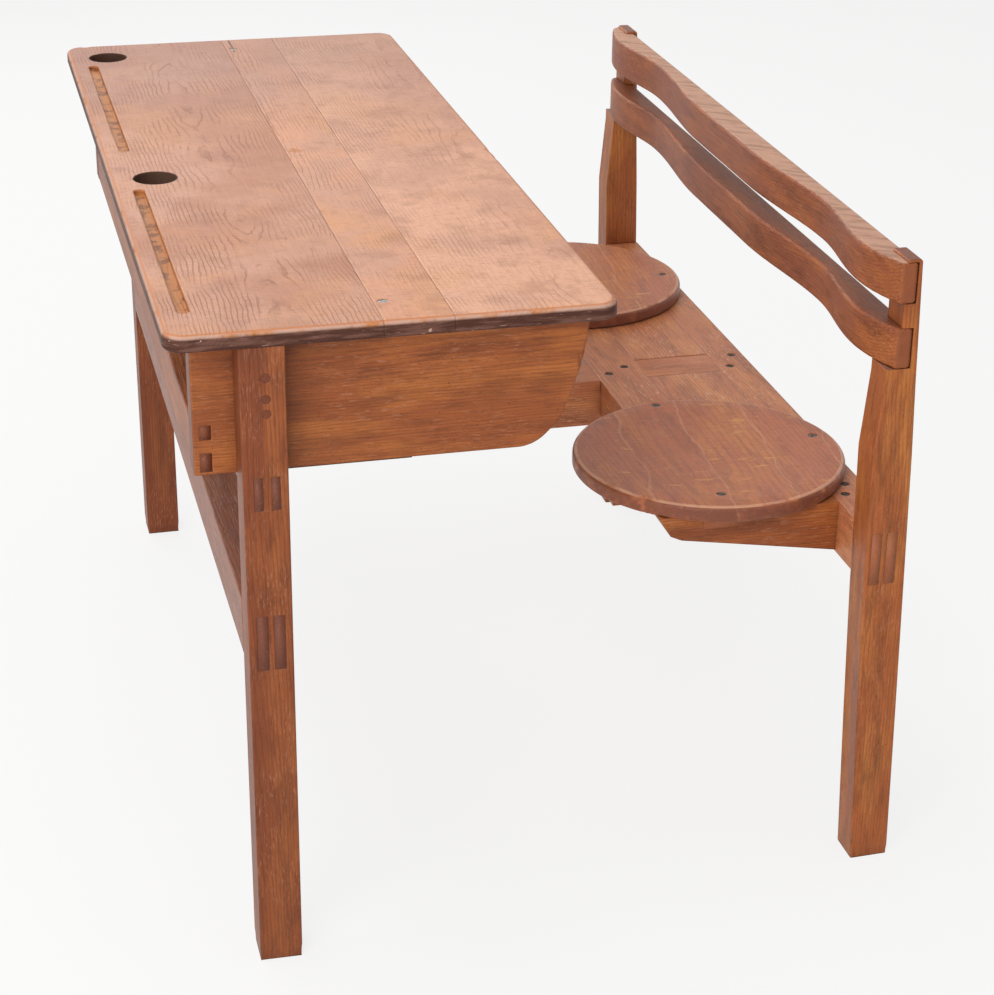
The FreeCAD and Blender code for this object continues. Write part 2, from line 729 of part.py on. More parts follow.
def bend_near(y, z):
    """A test for the edge along X that passes through a point of the side view."""
    def test(edge):
        box = edge.BoundBox
        return abs(box.YMin - y.value) < 0.5 and abs(box.ZMin - z.value) < 0.5 and box.XLength > 5
    return test


def cheek(label, x):
    body = new_body(label)
    toe = (cheek_corner + size.cheek_toe_in, cheek_bottom)
    heel = (cheek_corner + size.cheek_heel_in, cheek_bottom + size.cheek_heel_rise)
    knee = (cheek_corner + size.cheek_knee_in, cheek_bottom + size.cheek_knee_rise)
    side = new_sketch(body, "YZ_Plane")
    add_polygon(side, [
        (cheek_front, cheek_bottom),
        (cheek_front, top_underside),
        (cheek_corner, top_underside),
        knee,
        heel,
        toe,
    ])
    pad(body, side, size.cheek_thickness)
    round_edges(body, size.cheek_knee_round, bend_near(*knee), "KneeBend")
    round_edges(body, size.cheek_heel_round, bend_near(*heel), "HeelBend")
    round_edges(body, size.cheek_toe_round, bend_near(*toe), "ToeBend")
    round_edges(body, size.arris, lambda edge: runs_along(2)(edge)
                and edge.BoundBox.YMin > cheek_front.value - HAIR)
    notch = new_sketch(body, "YZ_Plane")
    add_box_outline(notch, upper_rail_rear, upper_rail_front, cheek_bottom, upper_rail_top)
    cut(body, notch, size.cheek_thickness, "RailNotch")
    mortise(body, [lip_tenon_y], lip_lower_z, size.cheek_thickness, "LowerLipMortise")
    mortise(body, [lip_tenon_y], lip_upper_z, size.cheek_thickness, "UpperLipMortise")
    return place(body, x)


dowel_hole_depth = size.dowel_depth + size.fit_gap


def finished_cheek(label, x, hole_start):
    """The cheek at one end, with dowel holes from its outer face and the top's screw hole."""
    body = cheek(label + "_blank", x)
    dowels = new_sketch(body, "YZ_Plane", hole_start)
    for height in dowel_heights:
        add_circle(dowels, dowel_y, height, size.dowel_diameter / 2 + size.fit_gap)
    cut(body, dowels, dowel_hole_depth, "DowelHoles")
    return drilled(label, body, top_holes)


nodes.append(finished_cheek("cheek_left", -cheek_outer, zero))
nodes.append(finished_cheek("cheek_right", cheek_inner, size.cheek_thickness - dowel_hole_depth))

nodes.append(tenoned_rail(
    "box_front_rail", cheek_inner, cheek_outer, (lip_rear, lip_front), (lip_bottom, lip_top),
    [(lip_tenon_y, lip_lower_z), (lip_tenon_y, lip_upper_z)]))

nodes.append(board("book_shelf", (-cheek_inner, cheek_inner), (shelf_pupil_edge, lip_rear),
                   (upper_rail_top, shelf_top)))
half_partition = size.partition_thickness / 2
nodes.append(board("box_partition", (-half_partition, half_partition), (shelf_pupil_edge, lip_rear),
                   (shelf_top, top_underside)))


def shelf_cleat(label, x):
    rear = upper_rail_rear - size.shelf_cleat_length
    return board(label, (zero, size.shelf_cleat_thickness), (rear, upper_rail_rear),
                 (upper_rail_top - size.shelf_cleat_height, upper_rail_top), x)


nodes.append(shelf_cleat("shelf_cleat_left", -cheek_inner))
nodes.append(shelf_cleat("shelf_cleat_right", cheek_inner - size.shelf_cleat_thickness))

dowel_run = size.leg_thickness + size.dowel_depth


def dowel_solids():
    """Three dowels at each end, flush with the leg's outer face."""
    solids = []
    for start in (-leg_outer, leg_outer - dowel_run):
        for height in dowel_heights:
            foot = V(start.value, dowel_y.value, height.value)
            solids.append(Part.makeCylinder(size.dowel_diameter.value / 2, dowel_run.value, foot, V(1, 0, 0)))
    return solids


cheek_dowels = doc.addObject("Part::Feature", "cheek_dowels")
cheek_dowels.Label = "cheek_dowels"
cheek_dowels.Shape = Part.makeCompound(dowel_solids())
nodes.append(cheek_dowels)

# ---------------------------------------------------------------------------------------------
# Screws of the bench and the back
# ---------------------------------------------------------------------------------------------
dish_radius = size.seat_radius - size.seat_rim

# Screws of a seat, from its centre: towards the middle of the desk, and along Y.
SEAT_SCREWS = [(-116, 24), (144, 18), (16, -135)]
# Screws that hold the front rail to the beam: X, and how far back from the rail's front face.
BEAM_LAP_SCREWS = [(-8, 17), (11, 43)]
# Screws through the tenons of the beam and of an arm: X from the middle of the piece, and how far
# back from the rear rail's front face.
BEAM_TENON_SCREWS = [(21, 31.5), (-15, 17)]
ARM_TENON_SCREWS = [(15, 24), (-11, 15)]


def seat_surface(reach):
    """Height of a seat's upper face at a distance from its centre."""
    rim = seat_top.value + size.seat_thickness.value
    edge = dish_radius.value
    if reach >= edge:
        return rim
    return rim - size.seat_dish.value * (1 - (reach / edge) ** 2)


def seat_screw_spots(side):
    """The three screws of one seat; side is -1 at the -X end and 1 at the other."""
    spots = []
    for inward, across in SEAT_SCREWS:
        height = length(seat_surface(math.hypot(inward, across)))
        x = (size.seat_from_middle - inward) * side
        spots.append((x, seat_centre_y + across, height - size.screw_sunk))
    return spots


seat_places = screw_places(seat_screw_spots(-1) + seat_screw_spots(1), UPRIGHT)
seat_holes = hole_group("SeatScrewHoles", long_hole, seat_places)

frame_face = seat_top - size.screw_sunk
beam_spots = [(length(x), front_rail_front - back, frame_face) for x, back in BEAM_LAP_SCREWS]
beam_spots += [(length(x), seat_rail_front - back, frame_face) for x, back in BEAM_TENON_SCREWS]
beam_places = screw_places(beam_spots, UPRIGHT)
arm_spots = [(size.arm_from_middle * side + x, seat_rail_front - back, frame_face)
             for side in (-1, 1) for x, back in ARM_TENON_SCREWS]
arm_places = screw_places(arm_spots, UPRIGHT)
beam_holes = hole_group("BeamScrewHoles", long_hole, beam_places)
arm_holes = hole_group("ArmScrewHoles", short_hole, arm_places)
bench_holes = doc.addObject("Part::Compound", "BenchHoles")
bench_holes.Links = [seat_holes, beam_holes, arm_holes]

back_lean = (size.tip_back - size.waist_back).value / size.waist_drop.value


def leg_back_face(height):
    """The rear face of a rear leg, above its narrow part."""
    return heel_line + size.waist_back + (height - waist_height) * back_lean


back_heights = [bottom + size.back_rail_height / 2 for bottom in (lower_back_bottom, upper_back_bottom)]
rear_leg_middle = size.bench_half_length - size.rear_leg_thickness / 2
back_spots = [(rear_leg_middle * side, leg_back_face(z) + size.screw_sunk, z)
              for side in (-1, 1) for z in back_heights]
back_places = screw_places(back_spots, FACING_BACK)
back_holes = hole_group("BackScrewHoles", short_hole, back_places)

# ---------------------------------------------------------------------------------------------
# Centre beam and bench frame
# ---------------------------------------------------------------------------------------------
def stub_tenon(body, centre, near, far):
    """A stub tenon between two planes across Y."""
    sketch = new_sketch(body, "XY_Plane", stub_z[0])
    add_box_outline(sketch, centre - half_stub, centre + half_stub, near, far)
    pad(body, sketch, stub_z[1] - stub_z[0], "StubTenon")


def cross_notch(body, x_range, z_range, name):
    """A lap notch across a piece, between the front rail's faces."""
    sketch = new_sketch(body, "XY_Plane", z_range[0])
    add_box_outline(sketch, x_range[0], x_range[1], front_rail_rear, front_rail_front)
    cut(body, sketch, z_range[1] - z_range[0], name)


centre_beam = board("centre_beam_blank", (-half_beam, half_beam), (seat_rail_front, stretcher_rear),
                    (beam_bottom, seat_top))
round_edges(centre_beam, size.arris, runs_along(1))
cross_notch(centre_beam, (-half_beam, half_beam), (lap_level, seat_top), "FrontRailLap")
stub_tenon(centre_beam, zero, stretcher_rear, stretcher_rear + size.stub_length)
stub_tenon(centre_beam, zero, seat_rail_front - size.stub_length, seat_rail_front)
nodes.append(drilled("centre_beam", centre_beam, bench_holes))
nodes.append(drilled("seat_rear_rail", seat_rear_rail, bench_holes))

seat_front_rail = board("seat_front_rail_blank", (-arm_outer, arm_outer), (front_rail_rear, front_rail_front),
                        (seat_top - size.seat_front_rail_height, seat_top))
rail_foot = seat_top - size.seat_front_rail_height
cross_notch(seat_front_rail, (-half_beam, half_beam), (rail_foot, lap_level), "BeamLap")
cross_notch(seat_front_rail, (-arm_outer, -arm_inner), (rail_foot, lap_level), "LeftArmLap")
cross_notch(seat_front_rail, (arm_inner, arm_outer), (rail_foot, lap_level), "RightArmLap")
nodes.append(drilled("seat_front_rail", seat_front_rail, bench_holes))

half_arm = size.arm_width / 2


def seat_arm(label, x):
    nose = seat_rail_front + size.arm_reach
    arm = prism_along_x(label + "_blank", [
        (seat_rail_front, beam_bottom),
        (seat_rail_front + size.arm_belly_reach, seat_top - size.arm_belly_height),
        (nose - size.arm_nose_rake, seat_top - size.arm_nose_height),
        (nose, seat_top),
        (seat_rail_front, seat_top),
    ], -half_arm, size.arm_width, x)
    cross_notch(arm, (-half_arm, half_arm), (lap_level, seat_top), "FrontRailLap")
    stub_tenon(arm, zero, seat_rail_front - size.stub_length, seat_rail_front)
    return drilled(label, arm, bench_holes)


nodes.append(seat_arm("seat_arm_left", -size.arm_from_middle))
nodes.append(seat_arm("seat_arm_right", size.arm_from_middle))


def seat_board(label, x):
    """The infill between the beam and an arm, between the two rails."""
    return board(label, (zero, arm_inner - half_beam), (seat_rail_front, front_rail_rear),
                 (seat_top - size.seat_board_thickness, seat_top), x)


nodes.append(drilled("seat_board_left", seat_board("seat_board_left_blank", -arm_inner), bench_holes))
nodes.append(drilled("seat_board_right", seat_board("seat_board_right_blank", half_beam), bench_holes))


def disc_cleat(label, x):
    half = size.disc_cleat_width / 2
    return board(label, (-half, half), (front_rail_front, front_rail_front + size.disc_cleat_depth),
                 (seat_top - size.disc_cleat_thickness, seat_top), x)


nodes.append(disc_cleat("seat_cleat_left", -size.seat_from_middle))
nodes.append(disc_cleat("seat_cleat_right", size.seat_from_middle))


# ---------------------------------------------------------------------------------------------
# Seats: turned discs with a shallow dish
# ---------------------------------------------------------------------------------------------
def seat_disc(label, x):
    body = new_body(label + "_blank")
    half = new_sketch(body, "XZ_Plane")
    rim = size.seat_thickness
    well = size.seat_thickness - size.seat_dish
    corners = [(zero, zero), (size.seat_radius, zero), (size.seat_radius, rim), (dish_radius, rim)]
    points = [V(across.value, up.value, 0) for across, up in corners]
    top_centre = V(0, well.value, 0)
    arc_height = (dish_radius.value ** 2 + size.seat_dish.value ** 2) / (2 * size.seat_dish.value)
    arc_centre = V(0, well.value + arc_height, 0)
    for index in range(3):
        half.addGeometry(Part.LineSegment(points[index], points[index + 1]))
    start_angle = -math.pi / 2
    end_angle = math.atan2(rim.value - arc_centre.y, dish_radius.value)
    dish = half.addGeometry(
        Part.ArcOfCircle(Part.Circle(arc_centre, V(0, 0, 1), arc_height), start_angle, end_angle))
    axis = half.addGeometry(Part.LineSegment(top_centre, points[0]))
    for item, end, other, other_end in ((0, 2, 1, 1), (1, 2, 2, 1), (2, 2, dish, 2), (dish, 1, axis, 1),
                                        (axis, 2, 0, 1)):
        half.addConstraint(Sketcher.Constraint("Coincident", item, end, other, other_end))
    for index, (across, up) in enumerate(corners[:3]):
        pin_point(half, index, 1, across, up)
    pin_point(half, 2, 2, dish_radius, rim)
    pin_point(half, axis, 1, zero, well)
    half.addConstraint(Sketcher.Constraint("PointOnObject", dish, 3, -2))
    turned = body.newObject("PartDesign::Revolution", "Turned")
    turned.Profile = half
    turned.ReferenceAxis = (half, ["V_Axis"])
    turned.Angle = 360
    edge_radius = size.seat_radius.value

    def rim_edge(height):
        def test(edge):
            box = edge.BoundBox
            level = abs(box.ZMin - height) < HAIR and abs(box.ZMax - height) < HAIR
            return level and box.XMax > edge_radius - HAIR
        return test

    round_edges(body, size.seat_rim_round_top, rim_edge(rim.value), "UpperRim")
    round_edges(body, size.seat_rim_round_bottom, rim_edge(0), "LowerRim")
    place(body, x, seat_centre_y, seat_top)
    return drilled(label, body, seat_holes)


nodes.append(seat_disc("seat_disc_left", -size.seat_from_middle))
nodes.append(seat_disc("seat_disc_right", size.seat_from_middle))


# ---------------------------------------------------------------------------------------------
# Rear legs and the serpentine back rails
# ---------------------------------------------------------------------------------------------
def rear_leg(label, x):
    def at(from_heel, height):
        return heel_line + from_heel, height

    profile = [
        at(zero, zero),
        at(size.heel_depth, zero),
        at(size.calf_front, size.calf_height),
        at(size.knee_front, size.knee_height),
        at(size.thigh_front, size.thigh_height),
        at(size.waist_front, waist_height),
        at(size.waist_front, lower_back_bottom),
        at(size.tip_front, lower_back_bottom),
        at(size.tip_front, size.rear_leg_height),
        at(size.tip_back, size.rear_leg_height),
        at(size.waist_back, waist_height),
        at(size.thigh_back, size.thigh_height),
        at(size.knee_back, size.knee_height),
        at(size.calf_back, size.calf_height),
    ]
    body = new_body(label + "_blank")
    side = new_sketch(body, "YZ_Plane")
    add_polygon(side, profile)
    pad(body, side, size.rear_leg_thickness)
    top = size.rear_leg_height.value

    def top_corner(edge):
        return edge.BoundBox.ZMin > top - HAIR and edge.BoundBox.XLength > 5

    round_edges(body, size.tip_round, top_corner, "RoundTop")
    round_edges(body, size.arris, lambda edge: steep_edge(edge) and edge.BoundBox.XLength < HAIR
                and edge.BoundBox.ZMax < lower_back_bottom.value + HAIR)
    notches = new_sketch(body, "YZ_Plane")
    for low in (lower_back_bottom, upper_back_bottom):
        add_box_outline(notches, back_rear, heel_line + size.waist_front, low, low + size.back_rail_height)
    cut(body, notches, size.rear_leg_thickness, "RailNotches")
    mortise(body, seat_tenons_y, low_tenons_z, size.rear_leg_thickness, "SeatMortises")
    place(body, x)
    return drilled(label, body, back_holes)


nodes.append(rear_leg("rear_leg_left", -size.bench_half_length))
nodes.append(rear_leg("rear_leg_right", rear_leg_inner))


def serpentine(sketch, stations):
    """The waved front face: a smooth curve that lies level at each station's crest or trough."""
    points = [V(across.value, up.value, 0) for across, up, level in stations]
    levels = [level for across, up, level in stations]
    curve = Part.BSplineCurve()
    tangents = [V(-1, 0, 0)] * len(points)
    curve.interpolate(Points=points, Tangents=tangents, TangentFlags=levels)
    return sketch.addGeometry(curve)


def back_rail(label, bottom):
    """A rail whose flat rear face lies in the legs' notches and whose front waves in plan."""
    body = new_body(label + "_blank")
    plan = new_sketch(body, "XY_Plane", bottom)
    end = size.back_half_length
    tip = back_rear + size.back_tip
    crest = back_rear + size.back_crest
    trough = back_rear + size.back_trough
    half_wave = [
        (end, tip, False),
        (size.back_outer_crest, crest, True),
        (size.seat_from_middle, trough, True),
        (size.back_middle_crest, crest, True),
    ]
    stations = half_wave + [(-across, up, level) for across, up, level in reversed(half_wave)]
    left = plan.addGeometry(Part.LineSegment(V(-end.value, tip.value, 0), V(-end.value, back_rear.value, 0)))
    rear = plan.addGeometry(
        Part.LineSegment(V(-end.value, back_rear.value, 0), V(end.value, back_rear.value, 0)))
    right = plan.addGeometry(Part.LineSegment(V(end.value, back_rear.value, 0), V(end.value, tip.value, 0)))
    wave = serpentine(plan, stations)
    ring = [left, rear, right, wave]
    for index, item in enumerate(ring):
        plan.addConstraint(Sketcher.Constraint("Coincident", item, 2, ring[(index + 1) % 4], 1))
    pin_point(plan, left, 1, -end, tip)
    pin_point(plan, rear, 1, -end, back_rear)
    pin_point(plan, right, 1, end, back_rear)
    pin_point(plan, wave, 1, end, tip)
    pad(body, plan, size.back_rail_height)
    round_edges(body, size.back_end_round, runs_along(2), "Ends")
    low = bottom.value
    high = low + size.back_rail_height.value

    def long_edge(edge):
        box = edge.BoundBox
        return box.ZMin > high - HAIR or box.ZMax < low + HAIR

    round_edges(body, size.back_round, long_edge, "LongEdges")
    place(body)
    return drilled(label, body, back_holes)


nodes.append(back_rail("back_rail_lower", lower_back_bottom))
nodes.append(back_rail("back_rail_upper", upper_back_bottom))

# ---------------------------------------------------------------------------------------------
# Screws
# ---------------------------------------------------------------------------------------------
nodes.append(group_of("desk_top_screws", long_screw, top_places))
nodes.append(group_of("seat_disc_screws", long_screw, seat_places))
nodes.append(group_of("centre_beam_screws", long_screw, beam_places))
nodes.append(group_of("seat_arm_screws", short_screw, arm_places))
nodes.append(group_of("back_rail_screws", short_screw, back_places))

# ---------------------------------------------------------------------------------------------
# Checks, then one STEP file per piece
# ---------------------------------------------------------------------------------------------
doc.recompute()
failed = [item.Name for item in doc.Objects if "Invalid" in item.State or "Error" in item.State]
if failed:
    raise RuntimeError("failed objects: " + ", ".join(failed))
for node in nodes:
    if node.Shape.isNull() or not node.Shape.isValid() or not node.Shape.Solids:
        raise RuntimeError("bad shape: " + node.Label)

os.makedirs("parts", exist_ok=True)
for node in nodes:
    node.Shape.exportStep("parts/%s.step" % node.Label)
    box = node.Shape.BoundBox
    print("%-26s %2d solid(s)  x %8.1f %8.1f  y %8.1f %8.1f  z %7.1f %7.1f  %9.0f mm3" % (
        node.Label, len(node.Shape.Solids), box.XMin, box.XMax, box.YMin, box.YMax, box.ZMin, box.ZMax,
        node.Shape.Volume))
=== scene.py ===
import math
import random

import bmesh
import bpy
from mathutils import Euler, Matrix, Vector, noise
from mathutils.bvhtree import BVHTree


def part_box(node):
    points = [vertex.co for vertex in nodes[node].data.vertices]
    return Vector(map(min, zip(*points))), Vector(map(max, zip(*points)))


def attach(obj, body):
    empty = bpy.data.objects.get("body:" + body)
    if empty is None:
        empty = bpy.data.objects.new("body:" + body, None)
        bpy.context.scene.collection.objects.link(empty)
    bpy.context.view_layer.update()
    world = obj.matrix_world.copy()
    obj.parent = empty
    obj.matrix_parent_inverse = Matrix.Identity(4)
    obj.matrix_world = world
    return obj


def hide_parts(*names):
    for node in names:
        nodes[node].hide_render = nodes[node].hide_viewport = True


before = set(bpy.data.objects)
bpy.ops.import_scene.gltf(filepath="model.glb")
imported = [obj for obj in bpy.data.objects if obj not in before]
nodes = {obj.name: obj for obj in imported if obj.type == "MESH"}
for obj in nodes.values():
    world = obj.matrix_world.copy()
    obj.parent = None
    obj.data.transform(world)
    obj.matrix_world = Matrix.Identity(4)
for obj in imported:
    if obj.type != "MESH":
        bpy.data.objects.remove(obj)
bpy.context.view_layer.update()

# A school desk for two pupils, of varnished solid wood that decades of use have worn: ash boards in
# the top, beech in the frame, the box, the bench and the back, dulled steel screws.  Metres: X runs
# along the desk, +Y away from the pupils, +Z up.

random.seed(21)

MM = 0.001


# ---------------------------------------------------------------------------------------------
# Worn pieces: each solid with its arrises rubbed round, nicked and chipped by use
# ---------------------------------------------------------------------------------------------
WEAR_STRIP = 1.8 * MM  # how far the rubbing of an arris runs into each face
TOUCHING = 0.7 * MM  # an arris nearer than this to another piece is part of a joint
WELD = 0.005 * MM  # vertices nearer than this are one
SLIVER = 0.02 * MM  # a face narrower than this has no true normal
KNIFE = 1e-6
FLAT = math.radians(0.4)  # faces that turn by less than this are one flat face
KEEN = math.radians(14)  # an edge that turns by more than this is an arris
SWELL = 22 * MM  # how far apart the rubbing deepens and fades
KNOCKS = 6.5 * MM  # how far apart the knocks in an arris lie
KNOCKS_START = Vector((7, 3, 5))  # keeps the knocks out of step with the rubbing
CRUMBLE = 3 * MM  # how coarse the floor of a chip is


def surface_of(obj):
    mesh = obj.data
    return BVHTree.FromPolygons([v.co for v in mesh.vertices], [p.vertices for p in mesh.polygons])


surfaces = {name: (surface_of(obj), *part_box(name)) for name, obj in nodes.items()}


def neighbours_of(node):
    """The surfaces of the pieces that come near this one."""
    low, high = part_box(node)
    near = []
    for name, (tree, other_low, other_high) in surfaces.items():
        apart = max(max(other_low[i] - high[i], low[i] - other_high[i]) for i in range(3))
        if name != node and apart < TOUCHING:
            near.append(tree)
    return near


def sliced(solid, low, high, axis, pitch):
    """Cuts the faces across one axis at an even pitch, so that they can follow the wear."""
    normal = Vector((0, 0, 0))
    normal[axis] = 1
    count = max(1, round((high[axis] - low[axis]) / pitch))
    for step in range(1, count):
        place = low[axis] + (high[axis] - low[axis]) * step / count
        geometry = solid.verts[:] + solid.edges[:] + solid.faces[:]
        bmesh.ops.bisect_plane(solid, geom=geometry, dist=KNIFE,
                               plane_co=normal * place, plane_no=normal)


def smooth_step(value, low, high):
    share = min(1.0, max(0.0, (value - low) / (high - low)))
    return share * share * (3 - 2 * share)


def sound(face):
    """Whether a face is broad enough to have a true normal."""
    return 2 * face.calc_area() / face.calc_perimeter() > SLIVER


def mean_normal(vert):
    """The mean normal of the sound faces round a vertex."""
    total = Vector((0, 0, 0))
    for loop in vert.link_loops:
        if sound(loop.face):
            total += loop.face.normal * loop.calc_angle()
    return total.normalized() if total.length > 0 else vert.normal.copy()


def is_open(face):
    """Whether a face of a glued board can be seen, and isn't its seam, which faces along Y."""
    return abs(face.normal.y) < 0.9


def open_normals(vert):
    """The normals of the sound faces round a vertex that aren't a seam."""
    return [face.normal for face in vert.link_faces if is_open(face) and sound(face)]


def open_normal(vert):
    """The mean normal of the faces round a vertex that aren't a seam."""
    normals = open_normals(vert)
    return sum(normals, Vector((0, 0, 0))).normalized() if normals else vert.normal.copy()


def bends(vert):
    """Whether an arris runs through a vertex at a seam's end."""
    normals = open_normals(vert)
    return any(one.angle(other) > KEEN for one in normals for other in normals)


def cut_for_wear(node, pitches):
    """A solid's faces, cut so that its arrises can wear, and the vertices on those arrises."""
    low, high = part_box(node)
    solid = bmesh.new()
    solid.from_mesh(nodes[node].data)
    bmesh.ops.remove_doubles(solid, verts=solid.verts, dist=WELD)
    bmesh.ops.dissolve_limit(solid, angle_limit=FLAT, verts=solid.verts, edges=solid.edges)
    bmesh.ops.connect_verts_concave(solid, faces=solid.faces[:])
    for axis, pitch in pitches.items():
        sliced(solid, low, high, "XYZ".index(axis), pitch)
    keen = {edge for edge in solid.edges
            if edge.is_manifold and edge.is_convex and edge.calc_face_angle() > KEEN
            and all(sound(face) for face in edge.link_faces)}
    on_arris = {vert for edge in keen for vert in edge.verts}
    crossing = [(edge, end) for edge in solid.edges if edge not in keen
                for end in edge.verts if end in on_arris]
    for edge, end in crossing:
        if end in edge.verts and edge.calc_length() > 1.5 * WEAR_STRIP:
            bmesh.utils.edge_split(edge, end, WEAR_STRIP / edge.calc_length())
    bmesh.ops.triangulate(solid, faces=solid.faces[:], quad_method="BEAUTY", ngon_method="BEAUTY")
    solid.normal_update()
    return solid, on_arris


def rub_down(solid, on_arris, near, rub, nick, chips, glued):
    """Moves the arrises in.  "arris" then holds how bare a vertex is, "joint" which ones touch."""
    arris = solid.verts.layers.float.new("arris")
    joint = solid.verts.layers.float.new("joint")
    moves = []
    for vert in solid.verts:
        place = vert.co
        losses = [((place - Vector(centre)).length / radius, centre, depth)
                  for centre, radius, depth in chips]
        losses = [loss for loss in losses if loss[0] < 1]
        if vert in on_arris:
            touched = any(tree.find_nearest(place, TOUCHING)[0] is not None for tree in near)
            if touched:
                vert[joint] = 1.0
            if not touched or glued and bends(vert):
                slow = noise.noise(place / SWELL)
                quick = noise.noise(place / KNOCKS + KNOCKS_START)
                knocked = smooth_step(quick + 0.3 * slow, 0.38, 0.62)
                vert[arris] = 0.55 + 0.45 * knocked
                if not losses:
                    moves.append((vert, rub * (0.7 + 0.6 * slow) + nick * knocked))
        for away, centre, depth in losses:
            broken = 0.6 + 0.4 * noise.noise(place / CRUMBLE)
            if centre[2] > 0:  # a foot's losses are dirty, not bare
                vert[arris] = max(vert[arris], 1 - away)
            moves.append((vert, depth * (1 - away * away) * broken))
    inward = {vert: open_normal(vert) if glued else mean_normal(vert) for vert, depth in moves}
    for vert, depth in moves:
        vert.co -= inward[vert] * depth
    solid.normal_update()
    return joint


def shading_of(solid, on_arris, joint, glued):
    """The normal at each corner of each face: soft over a worn arris, hard at a joint."""
    soft = {}
    for vert in solid.verts:
        faces = [face for face in vert.link_faces if sound(face)] or vert.link_faces
        widest = max(faces, key=lambda face: face.calc_area()).normal
        level = vert not in on_arris and all(face.normal.dot(widest) > 0.9 for face in faces)
        soft[vert] = widest.copy() if level else mean_normal(vert)
    shading = []
    for face in solid.faces:
        for vert in face.verts:
            if not vert[joint]:
                shading.append(soft[vert])
            elif glued and is_open(face):
                shading.append(open_normal(vert))
            else:
                shading.append(face.normal.copy())
    return shading


def worn(node, pitches, rub=0.35 * MM, nick=1.1 * MM, chips=(), glued=False):
    """A copy of a solid with worn arrises; it stands for the solid.

    pitches gives the spacing of the cuts for each axis that needs them, rub how deep the arrises
    are rubbed, nick how deep the knocks in them go, chips the larger losses as (place, radius,
    depth).  Glued boards were planed as one, so nothing shows at the seams between them.
    """
    solid, on_arris = cut_for_wear(node, pitches)
    joint = rub_down(solid, on_arris, neighbours_of(node), rub, nick, chips, glued)
    shading = shading_of(solid, on_arris, joint, glued)
    mesh = bpy.data.meshes.new("worn_" + node)
    solid.to_mesh(mesh)
    solid.free()
    mesh.polygons.foreach_set("use_smooth", [True] * len(mesh.polygons))
    mesh.normals_split_custom_set(shading)
    piece = bpy.data.objects.new("worn_" + node, mesh)
    bpy.context.scene.collection.objects.link(piece)
    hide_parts(node)
    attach(piece, "root")
    return piece


# ---------------------------------------------------------------------------------------------
# Colours and nodes
# ---------------------------------------------------------------------------------------------
def linear(hex_colour):
    """An sRGB hex colour as linear red, green, blue and alpha."""
    channels = [int(hex_colour[i:i + 2], 16) / 255 for i in (1, 3, 5)]
    return [c / 12.92 if c <= 0.04045 else ((c + 0.055) / 1.055) ** 2.4 for c in channels] + [1.0]


def add_node(tree, kind, settings=None, inputs=None):
    """One node with its settings, and what feeds or fills each of its inputs."""
    made = tree.nodes.new(kind)
    for setting, value in (settings or {}).items():
        setattr(made, setting, value)
    for socket, value in (inputs or {}).items():
        if isinstance(value, bpy.types.NodeSocket):
            tree.links.new(value, made.inputs[socket])
        else:
            made.inputs[socket].default_value = value
    return made


# A colour mix and its sockets
COLOUR = {"data_type": "RGBA"}
SHARE, UNDER, OVER, MIXED = 0, 6, 7, 2
EASE = {"interpolation_type": "SMOOTHSTEP"}
TIMES = {"operation": "MULTIPLY"}
PLUS = {"operation": "ADD"}
MINUS = {"operation": "SUBTRACT"}
LENGTH = {"operation": "LENGTH"}
SIZE = {"operation": "ABSOLUTE"}


# ---------------------------------------------------------------------------------------------
# Wood: growth rings, fibres, stains, worn arrises, dirt and painted shade
# ---------------------------------------------------------------------------------------------
# How to turn a piece so that its grain lies along X
TURN_FOR_GRAIN = {"X": (0, 0, 0), "Y": (0, 0, -math.pi / 2), "Z": (0, math.pi / 2, 0)}


def along_grain(tree, node, grain, pith, lean):
    """Object coordinates turned along the grain, with the tree's pith line as their axis.

    pith is how far the pith lies from the middle of the piece, lean how far it is out of parallel.
    """
    low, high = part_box(node)
    turn = [a + b for a, b in zip(TURN_FOR_GRAIN[grain], lean)]
    centre = Euler(turn).to_matrix() @ ((low + high) / 2)
    shift = (random.uniform(-3, 3), -centre.y - pith[0], -centre.z - pith[1])
    here = add_node(tree, "ShaderNodeTexCoord").outputs["Object"]
    return add_node(tree, "ShaderNodeMapping", None,
                    {"Vector": here, "Rotation": turn, "Location": shift}).outputs[0]


def strayed(tree, grain_place, wander, reach):
    """The place along the grain, drawn aside by slow noise: wander is how far, reach how long."""
    long_reach, cross_reach = reach
    scale = (1 / long_reach, 1 / cross_reach, 1 / cross_reach)
    slow_place = add_node(tree, "ShaderNodeMapping", None,
                          {"Vector": grain_place, "Scale": scale}).outputs[0]
    slow = add_node(tree, "ShaderNodeTexNoise", None,
                    {"Vector": slow_place, "Scale": 1.0, "Detail": 3.0, "Roughness": 0.5})
    centred = add_node(tree, "ShaderNodeVectorMath", MINUS,
                       {0: slow.outputs["Color"], 1: (0.5, 0.5, 0.5)}).outputs[0]
    stray = add_node(tree, "ShaderNodeVectorMath", TIMES,
                     {0: centred, 1: (0.0, 2 * wander, 2 * wander)}).outputs[0]
    return add_node(tree, "ShaderNodeVectorMath", PLUS, {0: grain_place, 1: stray}).outputs[0]


